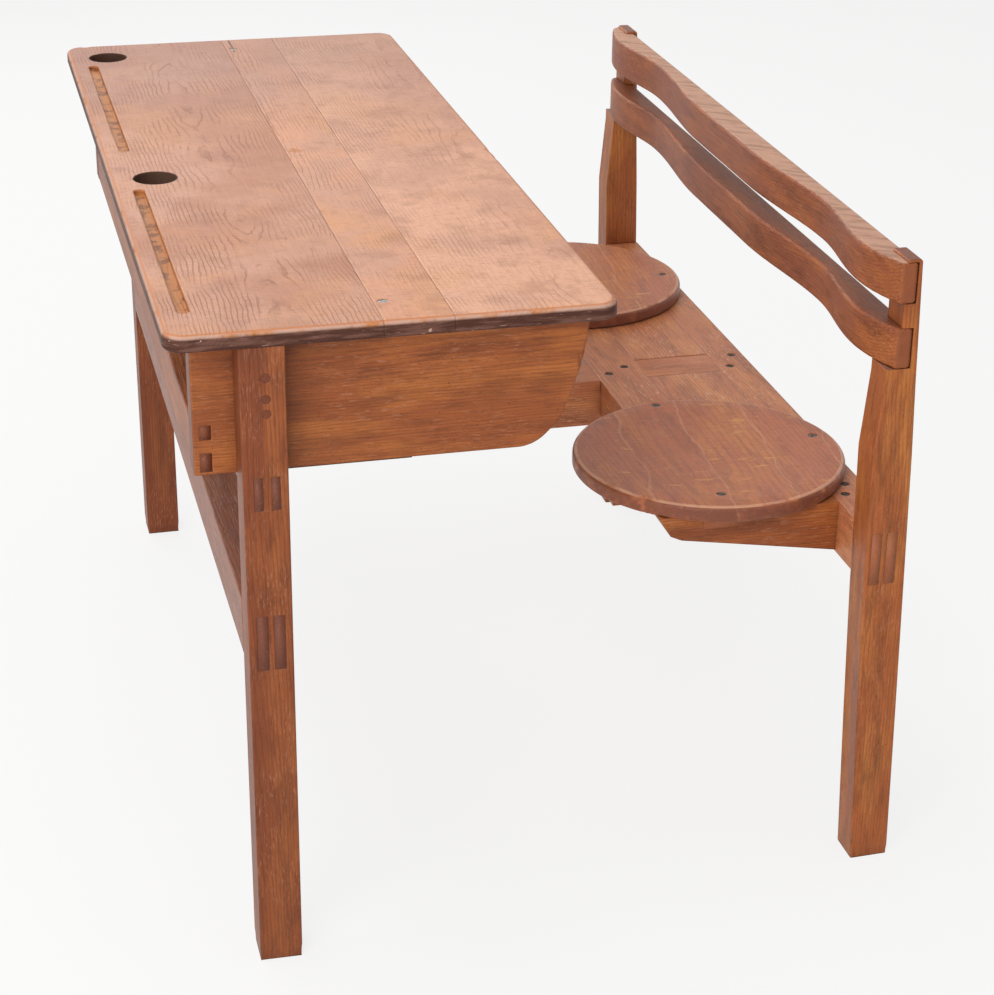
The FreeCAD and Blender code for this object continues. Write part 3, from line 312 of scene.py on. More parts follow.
def growth_rings(tree, grain_place, ring, wander, reach, swellings=(), late=(0.45, 0.86),
                 jag=0.9 * MM):
    """Late wood of the growth rings, 0 to 1: dark lines, sharp on one side and soft on the other.

    ring is the spacing of the rings, late where in a ring its line starts and is darkest, jag how
    far the lines shake.  Each swelling is (x, y, x radius, y radius, height): a place in the desk's
    frame where the rings bulge, so that they show as loops or pointed arches.
    """
    out_of_true = strayed(tree, grain_place, wander, reach)
    out_of_true = strayed(tree, out_of_true, jag, (18 * MM, 8 * MM))
    across = add_node(tree, "ShaderNodeVectorMath", TIMES,
                      {0: out_of_true, 1: (0.0, 1.0, 1.0)}).outputs[0]
    depth = add_node(tree, "ShaderNodeVectorMath", LENGTH, {0: across}).outputs["Value"]
    here = add_node(tree, "ShaderNodeTexCoord").outputs["Object"]
    for x, y, x_radius, y_radius, height in swellings:
        scale = (1 / x_radius, 1 / y_radius, 0.0)
        shift = (-x / x_radius, -y / y_radius, 0.0)
        about = add_node(tree, "ShaderNodeMapping", None,
                         {"Vector": here, "Scale": scale, "Location": shift}).outputs[0]
        away = add_node(tree, "ShaderNodeVectorMath", LENGTH, {0: about}).outputs["Value"]
        bulge = add_node(tree, "ShaderNodeMapRange", EASE, {
            "Value": away, "From Min": 1.0, "From Max": 0.0, "To Max": height}).outputs[0]
        depth = add_node(tree, "ShaderNodeMath", PLUS, {0: depth, 1: bulge}).outputs[0]
    count = add_node(tree, "ShaderNodeMath", TIMES, {0: depth, 1: 1 / ring}).outputs[0]
    phase = add_node(tree, "ShaderNodeMath", {"operation": "FRACT"}, {0: count}).outputs[0]
    rise = add_node(tree, "ShaderNodeMapRange", EASE,
                    {"Value": phase, "From Min": late[0], "From Max": late[1]}).outputs[0]
    fall = add_node(tree, "ShaderNodeMapRange", EASE,
                    {"Value": phase, "From Min": 1.0, "From Max": late[1]}).outputs[0]
    return add_node(tree, "ShaderNodeMath", TIMES, {0: rise, 1: fall}).outputs[0]


def stretched(tree, place, sizes, low, high):
    """Noise drawn out to the given sizes along X, Y and Z, as a mask from 0 to 1."""
    drawn_place = add_node(tree, "ShaderNodeMapping", None,
                           {"Vector": place, "Scale": [1 / size for size in sizes]}).outputs[0]
    drawn = add_node(tree, "ShaderNodeTexNoise", None,
                     {"Vector": drawn_place, "Scale": 1.0, "Detail": 3.0, "Roughness": 0.6})
    return add_node(tree, "ShaderNodeMapRange", EASE,
                    {"Value": drawn.outputs["Fac"], "From Min": low, "From Max": high}).outputs[0]


def streaks(tree, grain_place, length, width, low, high):
    """Streaks along the grain, 0 to 1: fibres if they are long, pores or flecks if short."""
    return stretched(tree, grain_place, (length, width, width), low, high)


def patches(tree, size, low, high, detail=3.0, start=None):
    """Soft patches of the given size, 0 to 1, such as stain, wear or grime.

    They differ from piece to piece, unless start fixes where their pattern begins.
    """
    here = add_node(tree, "ShaderNodeTexCoord").outputs["Object"]
    moved = add_node(tree, "ShaderNodeMapping", None, {
        "Vector": here, "Location": start or [random.uniform(-9, 9) for _ in range(3)]}).outputs[0]
    spread = add_node(tree, "ShaderNodeTexNoise", None,
                      {"Vector": moved, "Scale": 1 / size, "Detail": detail, "Roughness": 0.55})
    return add_node(tree, "ShaderNodeMapRange", EASE,
                    {"Value": spread.outputs["Fac"], "From Min": low, "From Max": high}).outputs[0]


def rubbed_arris(tree, low=0.42, high=0.72):
    """Where hands, feet and books have rubbed the varnish off the arrises, 0 to 1."""
    arris = add_node(tree, "ShaderNodeAttribute", {"attribute_name": "arris"}).outputs["Fac"]
    broken = patches(tree, 11 * MM, 0.3, 0.7)
    ragged = add_node(tree, "ShaderNodeMapRange", None, {
        "Value": broken, "To Min": -0.22, "To Max": 0.28}).outputs[0]
    rubbed = add_node(tree, "ShaderNodeMath", PLUS, {0: arris, 1: ragged}).outputs[0]
    kept = add_node(tree, "ShaderNodeMapRange", EASE,
                    {"Value": rubbed, "From Min": low, "From Max": high}).outputs[0]
    present = add_node(tree, "ShaderNodeMapRange", EASE,
                       {"Value": arris, "From Min": 0.02, "From Max": 0.3}).outputs[0]
    return add_node(tree, "ShaderNodeMath", TIMES, {0: kept, 1: present}).outputs[0]


def joint_line(tree):
    """Old glue and dirt in the joints, 0 to 1."""
    joint = add_node(tree, "ShaderNodeAttribute", {"attribute_name": "joint"}).outputs["Fac"]
    return add_node(tree, "ShaderNodeMapRange", EASE,
                    {"Value": joint, "From Min": 0.45, "From Max": 0.95}).outputs[0]


def dirt_and_shade(tree, reach):
    """Painted shade, with dirt and old varnish, in the corners where pieces meet, 0 to 1."""
    open_share = add_node(tree, "ShaderNodeAmbientOcclusion", {"samples": 4},
                          {"Distance": reach}).outputs["AO"]
    return add_node(tree, "ShaderNodeMapRange", EASE,
                    {"Value": open_share, "From Min": 0.6, "From Max": 0.15}).outputs[0]


def end_grain(tree, grain):
    """1 on the faces that are cut across the grain, where varnish has soaked in."""
    facing = add_node(tree, "ShaderNodeNewGeometry").outputs["True Normal"]
    part = add_node(tree, "ShaderNodeSeparateXYZ", None, {"Vector": facing}).outputs[grain]
    size = add_node(tree, "ShaderNodeMath", SIZE, {0: part}).outputs[0]
    return add_node(tree, "ShaderNodeMapRange", None,
                    {"Value": size, "From Min": 0.8, "From Max": 0.9}).outputs[0]


def layered(tree, ground, layers):
    """Tones laid over one another: each a tone, the mask that shows it, and how strongly."""
    for tone, mask, strength in layers:
        over = linear(tone) if isinstance(tone, str) else tone
        share = add_node(tree, "ShaderNodeMath", TIMES, {0: mask, 1: strength}).outputs[0]
        ground = add_node(tree, "ShaderNodeMix", COLOUR,
                          {SHARE: share, UNDER: ground, OVER: over}).outputs[MIXED]
    return ground


def varnished(tree, colour, relief, roughness, gloss, depth=0.5 * MM):
    """The surface itself: an old oil varnish over the wood's own relief."""
    bump = add_node(tree, "ShaderNodeBump", None,
                    {"Height": relief, "Strength": 0.5, "Distance": depth}).outputs[0]
    surface = add_node(tree, "ShaderNodeBsdfPrincipled", None,
                       {"Base Color": colour, "Roughness": roughness, "Normal": bump,
                        "Specular IOR Level": gloss, "IOR": 1.5})
    add_node(tree, "ShaderNodeOutputMaterial", None, {"Surface": surface.outputs[0]})


def new_material(name):
    material = bpy.data.materials.new(name)
    material.use_nodes = True
    material.node_tree.nodes.clear()
    return material


# Tones of the beech: heart of the colour, sunny patches, late wood, deep stain, end grain, bare
# wood, and dirt whose tone also serves as the painted shade in the corners
BEECH = {"body": "#955028", "sunny": "#B26832", "late": "#753B1E", "deep": "#4F2614",
         "end": "#6A3826", "bare": "#C89478", "dirt_and_shade": "#260F08"}
LEG_BEECH = {**BEECH, "body": "#824222", "sunny": "#9C572C", "late": "#5F2E18"}
# Painted glare: a greyer, pinker body and a pale grey bare tone for the upper rail and stretcher,
# standing in for the glare on their faces towards +Y
GLARED_RAIL_BEECH = {**LEG_BEECH, "body": "#9A6049", "sunny": "#A76B4C", "bare": "#BFA298"}
BACK_LEG_BEECH = {**BEECH, "body": "#A85C2D", "sunny": "#C07738", "late": "#824320"}
SHADED_BEECH = {**BEECH, "body": "#54291A", "sunny": "#63331F", "late": "#3C1C12",
                "end": "#3C1C12"}
PLUG_BEECH = {**BEECH, "end": "#5E2C1C"}
BENCH_BEECH = {"body": "#C2764D", "sunny": "#D48A54", "late": "#925036", "deep": "#6B3927",
               "end": "#955434", "bare": "#D9AA8C", "dirt_and_shade": "#34190F"}
SEAT_BEECH = {"body": "#B56A47", "sunny": "#C47B46", "late": "#96543B", "deep": "#7A4030",
              "end": "#8A4E3A", "bare": "#D2A286", "dirt_and_shade": "#3A2019"}
BACK_BEECH = {"body": "#965436", "sunny": "#AE6537", "late": "#743F2A", "deep": "#4A2519",
              "end": "#8C5035", "bare": "#C79678", "dirt_and_shade": "#2C150C"}


def varnished_beech(node, grain, tones, pith=(45 * MM, 60 * MM), ring=3.2 * MM, gloss=0.27,
                    bareness=0.7, seams=0.6, scuffing=0.25, marks=()):
    """Steamed beech under oil varnish: close rings, short flecks, arrises rubbed pale.

    bareness is how far the arrises are rubbed, seams how dark the joints are, scuffing how pale
    the varnish is rubbed elsewhere.  marks are more tones with their masks, for what only this
    piece shows.
    """
    material = new_material("varnished_beech_" + node)
    tree = material.node_tree
    lean = (0, random.uniform(-0.03, 0.03), random.uniform(-0.04, 0.04))
    grain_place = along_grain(tree, node, grain, pith, lean)
    rings = growth_rings(tree, grain_place, ring, 7 * MM, (0.32, 0.06))
    fibres = streaks(tree, grain_place, 60 * MM, 1.6 * MM, 0.42, 0.72)
    glow = streaks(tree, grain_place, 170 * MM, 38 * MM, 0.42, 0.66)
    clouds = streaks(tree, grain_place, 90 * MM, 24 * MM, 0.46, 0.7)
    smears = streaks(tree, grain_place, 45 * MM, 9 * MM, 0.52, 0.74)
    flecks = streaks(tree, grain_place, 6 * MM, 0.9 * MM, 0.58, 0.7)
    dents = patches(tree, 3.5 * MM, 0.63, 0.74)
    pale = streaks(tree, grain_place, 11 * MM, 1.8 * MM, 0.54, 0.68)
    handled = patches(tree, 70 * MM, 0.4, 0.62)
    scuffed = add_node(tree, "ShaderNodeMath", TIMES, {0: pale, 1: handled}).outputs[0]
    extra = [(tone, mask(tree), strength) for tone, mask, strength in marks]
    colour = layered(tree, linear(tones["body"]), [
        (tones["sunny"], glow, 0.85),
        (tones["late"], rings, 0.4),
        (tones["deep"], clouds, 0.36),
        (tones["deep"], smears, 0.34),
        (tones["deep"], fibres, 0.3),
        (tones["deep"], flecks, 0.5),
        (tones["bare"], scuffed, scuffing),
        (tones["deep"], dents, 0.5),
        (tones["end"], end_grain(tree, grain), 0.8),
        *extra,
        # Painted shade in the corners and recesses between pieces, together with their dirt
        (tones["dirt_and_shade"], dirt_and_shade(tree, 28 * MM), 0.62),
        (tones["bare"], rubbed_arris(tree), bareness),
        (tones["dirt_and_shade"], joint_line(tree), seams),
    ])
    varnished(tree, colour, fibres, roughness=0.42, gloss=gloss)
    return material


# Tones of the top: warm tan, grey-brown late wood, purplish old varnish on the nosing, grey for
# the painted glare at the far end, and painted shade for the walls of the inkwell holes
ASH = {"sunny": "#DA9C6C", "late": "#8A5740", "deep": "#84523B", "pink": "#CD9A82",
       "cloud": "#A2725C", "far": "#A07B70", "hole": "#46332B", "dirt_and_shade": "#3A2019",
       "groove": "#B97A45", "groove_dirt": "#5E3420", "nosing": "#4A2C23",
       "nosing_sheen": "#7C574B", "nosing_worn": "#C39F90", "nosing_line": "#C07A4C"}

TOP_FACE = 730 * MM
# The middle of the top, and how far from it the flat face reaches before the nosing starts
TOP_MIDDLE = Vector((0.0, 0.181, 0.0))
TOP_INSIDE = Vector((0.5600, 0.214, 0.0))
# Painted glare: the top greys towards the far end
FAR_X = 0.5  # the far end's tone grows from the middle to here
# Bands of the nosing and the grooves: how far below the face each starts, and where it is whole
BANDS_BELOW_FACE = {"edge": (EASE, 0.02 * MM, 0.3 * MM), "arris": (EASE, 0.5 * MM, 1.7 * MM),
                    "nosing": (EASE, 2.4 * MM, 5.4 * MM), "groove": (None, 1.5 * MM, 3 * MM)}
NOSING_START = (2.7, 1.3, 0.4)  # the nosing's wear runs on from board to board
HOLES = [(-0.060, 0.3575), (0.504, 0.3575)]  # the inkwell holes' axes
HOLE_REACH = 25.8 * MM
# The drying crack beside the glue line: its Y, half its width, and the X where it starts
CRACK_Y, CRACK_HALF_WIDTH, CRACK_X = 0.185, 1.3 * MM, 0.500


def from_axis(tree, x, y):
    """The distance from an upright axis."""
    here = add_node(tree, "ShaderNodeTexCoord").outputs["Object"]
    about = add_node(tree, "ShaderNodeMapping", None, {
        "Vector": here, "Location": (-x, -y, 0.0), "Scale": (1.0, 1.0, 0.0)}).outputs[0]
    return add_node(tree, "ShaderNodeVectorMath", LENGTH, {0: about}).outputs["Value"]


def near_axis(tree, x, y, reach):
    """1 within reach of an upright axis, for the wall of a hole."""
    return add_node(tree, "ShaderNodeMath", {"operation": "LESS_THAN"},
                    {0: from_axis(tree, x, y), 1: reach}).outputs[0]


def end_crack(tree):
    """The drying crack that runs in from the far end beside the glue line."""
    here = add_node(tree, "ShaderNodeTexCoord").outputs["Object"]
    bent = strayed(tree, here, 3 * MM, (20 * MM, 9 * MM))
    part = add_node(tree, "ShaderNodeSeparateXYZ", None, {"Vector": bent}).outputs
    aside = add_node(tree, "ShaderNodeMath", {"operation": "COMPARE"},
                     {0: part["Y"], 1: CRACK_Y, 2: CRACK_HALF_WIDTH}).outputs[0]
    run_in = add_node(tree, "ShaderNodeMath", {"operation": "GREATER_THAN"},
                      {0: part["X"], 1: CRACK_X}).outputs[0]
    return add_node(tree, "ShaderNodeMath", TIMES, {0: aside, 1: run_in}).outputs[0]


def top_zones(tree):
    """Masks for parts of the top: far end for the painted glare, groove, and the edge, arris and
    side of the nosing.
    """
    here = add_node(tree, "ShaderNodeTexCoord").outputs["Object"]
    part = add_node(tree, "ShaderNodeSeparateXYZ", None, {"Vector": here}).outputs
    zones = {}
    for name, (easing, start, whole) in BANDS_BELOW_FACE.items():
        zones[name] = add_node(tree, "ShaderNodeMapRange", easing, {
            "Value": part["Z"], "From Min": TOP_FACE - start,
            "From Max": TOP_FACE - whole}).outputs[0]
    zones["far"] = add_node(tree, "ShaderNodeMapRange", EASE,
                            {"Value": part["X"], "From Min": 0.0, "From Max": FAR_X}).outputs[0]
    from_middle = add_node(tree, "ShaderNodeVectorMath", MINUS,
                           {0: here, 1: TOP_MIDDLE}).outputs[0]
    reach_out = add_node(tree, "ShaderNodeVectorMath", SIZE, {0: from_middle}).outputs[0]
    past_rim = add_node(tree, "ShaderNodeVectorMath", MINUS,
                        {0: reach_out, 1: TOP_INSIDE}).outputs[0]
    past = add_node(tree, "ShaderNodeSeparateXYZ", None, {"Vector": past_rim}).outputs
    furthest = add_node(tree, "ShaderNodeMath", {"operation": "MAXIMUM"},
                        {0: past["X"], 1: past["Y"]}).outputs[0]
    at_rim = add_node(tree, "ShaderNodeMapRange", None,
                      {"Value": furthest, "From Min": 0.0, "From Max": 0.5 * MM}).outputs[0]
    kept = patches(tree, 22 * MM, 0.28, 0.5, 3.0, NOSING_START)
    for name, mask in (("arris", kept), ("arris", at_rim), ("nosing", at_rim)):
        zones[name] = add_node(tree, "ShaderNodeMath", TIMES, {0: zones[name], 1: mask}).outputs[0]
    return zones


def varnished_ash(node, body, pith, ring, wander, reach, sunny, ring_share, swellings=()):
    """Ash boards of the top: broad figure of late wood, varnish rubbed thin and greyed by hands,
    painted glare at the far end.
    """
    material = new_material("varnished_ash_" + node)
    tree = material.node_tree
    grain_place = along_grain(tree, node, "X", pith, (0, 0, 0.0))
    cross_place = along_grain(tree, node, "Y", (0, 0), (0, 0, 0.25))
    rings = growth_rings(tree, grain_place, ring, wander, reach, swellings,
                         late=(0.6, 0.9), jag=1.2 * MM)
    fibres = streaks(tree, grain_place, 50 * MM, 1.5 * MM, 0.42, 0.75)
    pores = streaks(tree, grain_place, 9 * MM, 1.0 * MM, 0.58, 0.72)
    scuffs = streaks(tree, cross_place, 18 * MM, 1.5 * MM, 0.55, 0.68)
    pale_scuffs = streaks(tree, cross_place, 14 * MM, 1.6 * MM, 0.58, 0.7)
    faint = patches(tree, 80 * MM, 0.4, 0.6)
    speckle = patches(tree, 3.2 * MM, 0.55, 0.72)
    shown_rings = add_node(tree, "ShaderNodeMath", TIMES, {0: rings, 1: faint}).outputs[0]
    here = add_node(tree, "ShaderNodeTexCoord").outputs["Object"]
    zones = top_zones(tree)
    nosing = layered(tree, linear(ASH["nosing"]), [
        (ASH["nosing_sheen"], stretched(tree, here, (45 * MM, 45 * MM, 5 * MM), 0.42, 0.66), 0.6),
        (ASH["nosing_worn"], stretched(tree, here, (16 * MM, 16 * MM, 2.4 * MM), 0.62, 0.74), 0.5)])
    groove = layered(tree, linear(ASH["groove"]), [
        (ASH["groove_dirt"], patches(tree, 16 * MM, 0.48, 0.62, 5.0), 0.75),
        (ASH["nosing_worn"], patches(tree, 9 * MM, 0.6, 0.7, 5.0), 0.5)])
    colour = layered(tree, linear(body), [
        (ASH["pink"], patches(tree, 150 * MM, 0.38, 0.62), 0.9),
        (ASH["sunny"], patches(tree, 110 * MM, 0.45, 0.7), sunny),
        (ASH["cloud"], patches(tree, 38 * MM, 0.48, 0.72), 0.38),
        # Painted glare: the top greys towards the far end
        (ASH["far"], zones["far"], 0.5),
        (ASH["cloud"], speckle, 0.35),
        (ASH["late"], shown_rings, ring_share),
        (ASH["late"], scuffs, 0.5),
        (ASH["nosing_worn"], pale_scuffs, 0.3),
        (ASH["deep"], fibres, 0.18),
        (ASH["deep"], pores, 0.36),
        (ASH["nosing_line"], zones["edge"], 0.8),
        (groove, zones["groove"], 0.9),
        (ASH["dirt_and_shade"], end_crack(tree), 0.8),
        # Painted shade: the walls of the inkwell holes are painted dark, as if shaded
        *[(ASH["hole"], near_axis(tree, x, y, HOLE_REACH), 0.95) for x, y in HOLES],
        # Painted shade in the corners and recesses between pieces, together with their dirt
        (ASH["dirt_and_shade"], dirt_and_shade(tree, 9 * MM), 0.7),
        (ASH["nosing_line"], rubbed_arris(tree), 0.35),
        (ASH["nosing_line"], joint_line(tree), 0.12),
        (ASH["nosing_worn"], zones["arris"], 0.8),
        (nosing, zones["nosing"], 1.0),
        (ASH["nosing_worn"], rubbed_arris(tree, 0.78, 0.98), 0.8),
    ])
    varnished(tree, colour, shown_rings, roughness=0.52, gloss=0.12, depth=0.8 * MM)
    return material


RUST = "#3A2519"


def dulled_steel(name, metal):
    """Mild steel screw heads, turned and slotted, that have dulled and browned."""
    material = new_material(name)
    tree = material.node_tree
    colour = layered(tree, linear(metal), [(RUST, patches(tree, 3 * MM, 0.45, 0.7), 0.9)])
    surface = add_node(tree, "ShaderNodeBsdfPrincipled", None,
                       {"Base Color": colour, "Metallic": 0.85, "Roughness": 0.48})
    add_node(tree, "ShaderNodeOutputMaterial", None, {"Surface": surface.outputs[0]})
    return material


# ---------------------------------------------------------------------------------------------
# Which wear and finish each piece gets
# ---------------------------------------------------------------------------------------------
def finish_piece(piece, material):
    piece.data.materials.clear()
    piece.data.materials.append(material)


# Swellings of the front board's rings: a closed loop and arches that open to an end, then two that
# rise the other way
LOOPS = [
    (-0.225, 0.287, 0.120, 0.042, -0.007),
    (-0.610, 0.292, 0.220, 0.060, -0.010),
    (0.300, 0.290, 0.200, 0.045, -0.006),
    (-0.080, 0.230, 0.110, 0.030, 0.004),
    (-0.400, 0.200, 0.120, 0.030, 0.005),
]
TOP_WEAR = {"X": 7 * MM, "Y": 9 * MM}
# Losses of the top: its corners and edges, and a dent
TOP_CHIPS = {
    "desk_top_board_front": [
        ((0.575, 0.381, 0.729), 9 * MM, 2.5 * MM), ((-0.568, 0.402, 0.722), 8 * MM, 1.6 * MM),
        ((-0.575, 0.372, 0.724), 6 * MM, 1.2 * MM)],
    "desk_top_board_middle": [
        ((0.015, 0.183, 0.730), 9 * MM, 0.9 * MM), ((-0.575, 0.150, 0.716), 7 * MM, 1.4 * MM)],
    "desk_top_board_pupil": [
        ((-0.573, -0.040, 0.728), 10 * MM, 1.7 * MM), ((-0.560, -0.046, 0.729), 8 * MM, 1.4 * MM),
        ((-0.028, -0.046, 0.729), 9 * MM, 1.5 * MM), ((-0.060, -0.046, 0.728), 6 * MM, 1.2 * MM)],
}
# How each board was cut and has worn: ground, pith, ring spacing, wander and its reach, then how
# sunny it is, how strongly its rings show and where they bulge
TOP_CUT = {
    "desk_top_board_front": ("#BD856A", (-17 * MM, -52 * MM), 3.8 * MM, 6 * MM, (0.12, 0.04),
                             0.4, 0.55, LOOPS),
    "desk_top_board_middle": ("#DB9F7E", (60 * MM, -50 * MM), 3.4 * MM, 9 * MM, (0.2, 0.06),
                              0.6, 0.4),
    "desk_top_board_pupil": ("#E3AD8F", (-60 * MM, -70 * MM), 4 * MM, 9 * MM, (0.2, 0.07),
                             0.35, 0.22),
}
for name, cut in TOP_CUT.items():
    finish_piece(worn(name, TOP_WEAR, 0.3 * MM, 0.9 * MM, TOP_CHIPS[name], glued=True),
                 varnished_ash(name, *cut))


def foot_chips(node):
    """Losses at the corners of a leg's foot."""
    low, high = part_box(node)
    return [((x, y, 0.0), 14 * MM, 1.8 * MM) for x in (low.x, high.x) for y in (low.y, high.y)]


# The frame: the way the grain runs, the tones, and the pieces that share them
FRAME_PIECES = [
    ("Z", LEG_BEECH, ["front_leg_left", "front_leg_right"]),
    ("Z", BACK_LEG_BEECH, ["rear_leg_left", "rear_leg_right"]),
    ("Y", BEECH, ["cheek_left", "cheek_right", "seat_arm_left", "seat_arm_right"]),
    ("Y", BENCH_BEECH, ["centre_beam"]),
    ("Y", SHADED_BEECH, ["shelf_cleat_left", "shelf_cleat_right"]),
    ("X", BEECH, ["box_front_rail"]),
    ("X", LEG_BEECH, ["book_shelf", "box_partition"]),
    ("X", GLARED_RAIL_BEECH, ["upper_rail", "stretcher"]),
    ("X", BENCH_BEECH, ["seat_rear_rail", "seat_front_rail", "seat_board_left", "seat_board_right",
                        "seat_cleat_left", "seat_cleat_right"]),
]
LITTLE_SCUFFED = 0.25
SCUFFED = {"upper_rail": 0.55, "stretcher": 0.55, "box_front_rail": 0.4, "centre_beam": 0.6,
           "seat_rear_rail": 0.8, "seat_front_rail": 0.8, "seat_board_left": 0.8,
           "seat_board_right": 0.8}
for grain, tones, names in FRAME_PIECES:
    for name in names:
        chips = foot_chips(name) if "leg" in name else ()
        finish_piece(worn(name, {grain: 5 * MM}, chips=chips),
                     varnished_beech(name, grain, tones,
                                     scuffing=SCUFFED.get(name, LITTLE_SCUFFED)))


def contour_lines(node):
    """A few pale lines that wander along a seat where its boards' rings come out."""
    def lines(tree):
        place = along_grain(tree, node, "X", (220 * MM, -60 * MM), (0, 0, 0.08))
        return growth_rings(tree, place, ring=75 * MM, wander=14 * MM, reach=(0.11, 0.09),
                            late=(0.95, 0.985), jag=3 * MM)
    return lines


def rim_band(node, inner, outer):
    """A ring of a seat between two distances in from its edge."""
    low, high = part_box(node)
    middle = (low + high) / 2
    radius = (high.x - low.x) / 2

    def band(tree):
        away = from_axis(tree, middle.x, middle.y)
        inside = add_node(tree, "ShaderNodeMapRange", EASE, {
            "Value": away, "From Min": radius - inner - 1.2 * MM,
            "From Max": radius - inner}).outputs[0]
        outside = add_node(tree, "ShaderNodeMapRange", EASE, {
            "Value": away, "From Min": radius - outer + 0.6 * MM,
            "From Max": radius - outer}).outputs[0]
        both = add_node(tree, "ShaderNodeMath", TIMES, {0: inside, 1: outside}).outputs[0]
        kept = patches(tree, 25 * MM, 0.3, 0.52)
        return add_node(tree, "ShaderNodeMath", TIMES, {0: both, 1: kept}).outputs[0]
    return band


def across_grain(node, length, width, low, high):
    """Marks that run across a seat, as clothes leave them."""
    def strokes(tree):
        place = along_grain(tree, node, "Y", (0, 0), (0, 0, 0.1))
        return streaks(tree, place, length, width, low, high)
    return strokes


# What only the seats show: thin varnish, stains, scuffs, pale ring lines, painted shade on the rim,
# a rubbed rim
HONEY, STAIN, SCUFF, CONTOUR, RIM_SHADE, RIM_WORN = (
    "#D09450", "#7A4330", "#D0A088", "#CE9A7C", "#74412F", "#D6A588")
for name in ("seat_disc_left", "seat_disc_right"):
    marks = [
        (HONEY, across_grain(name, 34 * MM, 13 * MM, 0.63, 0.7), 0.6),
        (STAIN, across_grain(name, 22 * MM, 1.7 * MM, 0.54, 0.68), 0.4),
        (SCUFF, across_grain(name, 16 * MM, 1.6 * MM, 0.6, 0.72), 0.3),
        (CONTOUR, contour_lines(name), 0.36),
        # Painted shade on the outer rim and side of each seat
        (RIM_SHADE, rim_band(name, 1.6 * MM, -9 * MM), 0.8),
        (RIM_WORN, rim_band(name, 4.6 * MM, 2.0 * MM), 0.6),
    ]
    finish_piece(worn(name, {"X": 7 * MM, "Y": 7 * MM}),
                 varnished_beech(name, "X", SEAT_BEECH, (20 * MM, -90 * MM), 5 * MM, marks=marks))


def upper_face(tree):
    """1 on a rail's top edge."""
    facing = add_node(tree, "ShaderNodeNewGeometry").outputs["True Normal"]
    up = add_node(tree, "ShaderNodeSeparateXYZ", None, {"Vector": facing}).outputs["Z"]
    return add_node(tree, "ShaderNodeMapRange", EASE,
                    {"Value": up, "From Min": 0.75, "From Max": 0.95}).outputs[0]


def saw_strokes(tree):
    """Slanting strokes of the saw, left on a rail's top edge."""
    here = add_node(tree, "ShaderNodeTexCoord").outputs["Object"]
    slanted = add_node(tree, "ShaderNodeMapping", None,
                       {"Vector": here, "Rotation": (0, 0, math.radians(35))}).outputs[0]
    strokes = streaks(tree, slanted, 8 * MM, 60 * MM, 0.5, 0.6)
    return add_node(tree, "ShaderNodeMath", TIMES, {0: strokes, 1: upper_face(tree)}).outputs[0]


# The top edge of each back rail: its tone, and how strongly it shows; on the upper rail it is a
# painted light, lighter as if lit from above, on the lower rail a darker tone
TOP_EDGE_OF = {"back_rail_lower": ("#7C4629", 0.5), "back_rail_upper": ("#CFA084", 0.75)}
SAWN = "#6A3E2C"
for name, (tone, strength) in TOP_EDGE_OF.items():
    marks = [(tone, upper_face, strength), (SAWN, saw_strokes, 0.4)]
    finish_piece(worn(name, {"X": 5 * MM}, 0.4 * MM, 1.3 * MM),
                 varnished_beech(name, "X", BACK_BEECH, gloss=0.14, bareness=0.55, seams=0.25,
                                 marks=marks))
finish_piece(nodes["cheek_dowels"], varnished_beech("cheek_dowels", "X", PLUG_BEECH))
METAL_OF = {"desk_top_screws": "#A39D98", "seat_disc_screws": "#6B625A",
            "centre_beam_screws": "#4A3A30", "seat_arm_screws": "#4A3A30",
            "back_rail_screws": "#6B625A"}
for name, metal in METAL_OF.items():
    finish_piece(nodes[name], dulled_steel("dulled_steel_" + name, metal))


# ---------------------------------------------------------------------------------------------
# Studio: pale floor, white surroundings, soft lamps, camera
# ---------------------------------------------------------------------------------------------
FLOOR_HALF = 14.0
FLOOR_CORNERS = ((-FLOOR_HALF, -FLOOR_HALF), (FLOOR_HALF, -FLOOR_HALF),
                 (FLOOR_HALF, FLOOR_HALF), (-FLOOR_HALF, FLOOR_HALF))
PAPER_WHITE = 0.8  # the floor's share of plain white; the rest keeps the shadows
AMBIENT = 0.42  # the surroundings' light on the desk
WHITE = linear("#FFFFFF")


def white_to_camera(tree):
    """1 where a ray comes straight from the camera, a gloss or a glass, else 0."""
    ray = add_node(tree, "ShaderNodeLightPath").outputs
    seen = add_node(tree, "ShaderNodeMath", PLUS,
                    {0: ray["Is Camera Ray"], 1: ray["Is Glossy Ray"]}).outputs[0]
    return add_node(tree, "ShaderNodeMath", {**PLUS, "use_clamp": True},
                    {0: seen, 1: ray["Is Transmission Ray"]}).outputs[0]


floor_mesh = bpy.data.meshes.new("studio_floor")
floor_mesh.from_pydata([(x, y, 0.0) for x, y in FLOOR_CORNERS], [], [(0, 1, 2, 3)])
floor = bpy.data.objects.new("studio_floor", floor_mesh)
bpy.context.scene.collection.objects.link(floor)

# Matt white paper: a pale ground that keeps the desk's soft shadow
paper = new_material("white_paper_floor")
matt = add_node(paper.node_tree, "ShaderNodeBsdfDiffuse", None, {"Color": linear("#E6E5E3")})
lit = add_node(paper.node_tree, "ShaderNodeEmission", None, {"Color": WHITE, "Strength": 1.0})
share = add_node(paper.node_tree, "ShaderNodeMath", TIMES,
                 {0: white_to_camera(paper.node_tree), 1: PAPER_WHITE}).outputs[0]
blend = add_node(paper.node_tree, "ShaderNodeMixShader", None,
                 {0: share, 1: matt.outputs[0], 2: lit.outputs[0]})
add_node(paper.node_tree, "ShaderNodeOutputMaterial", None, {"Surface": blend.outputs[0]})
floor_mesh.materials.append(paper)

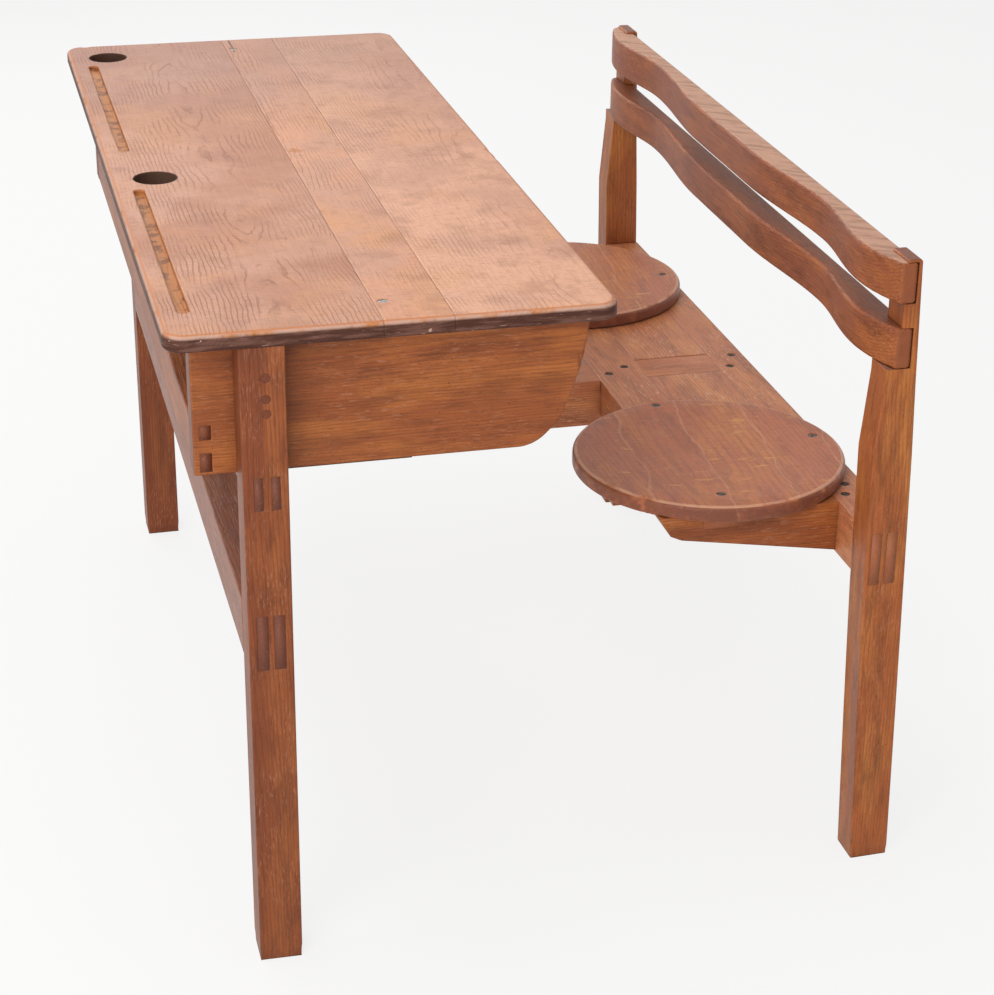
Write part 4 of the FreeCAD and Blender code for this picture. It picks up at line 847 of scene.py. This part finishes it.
world = bpy.data.worlds.new("studio")
bpy.context.scene.world = world
world.use_nodes = True
world.node_tree.nodes.clear()
strength = add_node(world.node_tree, "ShaderNodeMapRange", None, {
    "Value": white_to_camera(world.node_tree), "To Min": AMBIENT, "To Max": 1.0}).outputs[0]
sky = add_node(world.node_tree, "ShaderNodeBackground", None,
               {"Color": WHITE, "Strength": strength})
add_node(world.node_tree, "ShaderNodeOutputWorld", None, {"Surface": sky.outputs[0]})


def softbox(name, place, aim, side, watts):
    lamp = bpy.data.lights.new(name, "AREA")
    lamp.shape = "SQUARE"
    lamp.size = side
    lamp.energy = watts
    stand = bpy.data.objects.new(name, lamp)
    stand.location = place
    stand.rotation_euler = (Vector(aim) - Vector(place)).to_track_quat("-Z", "Y").to_euler()
    bpy.context.scene.collection.objects.link(stand)


MIDDLE = (0, 0, 0.55)
softbox("overhead_softbox", (0.3, 0.9, 3.4), MIDDLE, 2.6, 38)
softbox("end_softbox", (-3.4, 1.9, 2.0), MIDDLE, 2.8, 112)
softbox("far_softbox", (3.2, 0.6, 2.4), MIDDLE, 2.4, 35)

# The camera stands past the -X end and looks along the desk, a little down.
CAMERA_PLACE = Vector((-2.6723, 0.6139, 1.52915))
CAMERA_HEADING = math.radians(-14.278)
CAMERA_PITCH = math.radians(-24.766)
CAMERA_ROLL = math.radians(0.6756)
LENS_MM = 85.0


def aimed(place, heading, pitch, roll):
    """A camera's matrix from its place, its heading from +X, its pitch and its roll."""
    ahead = Vector((math.cos(pitch) * math.cos(heading), math.cos(pitch) * math.sin(heading),
                    math.sin(pitch)))
    right = ahead.cross(Vector((0, 0, 1))).normalized()
    up = right.cross(ahead)
    rolled_right = math.cos(roll) * right + math.sin(roll) * up
    rolled_up = -math.sin(roll) * right + math.cos(roll) * up
    turned = Matrix((rolled_right, rolled_up, -ahead)).transposed().to_4x4()
    return Matrix.Translation(place) @ turned


camera_data = bpy.data.cameras.new("camera")
camera_data.lens = LENS_MM
camera = bpy.data.objects.new("camera", camera_data)
camera.matrix_world = aimed(CAMERA_PLACE, CAMERA_HEADING, CAMERA_PITCH, CAMERA_ROLL)
bpy.context.scene.collection.objects.link(camera)
bpy.context.scene.camera = camera
bpy.context.scene.view_settings.view_transform = "Standard"
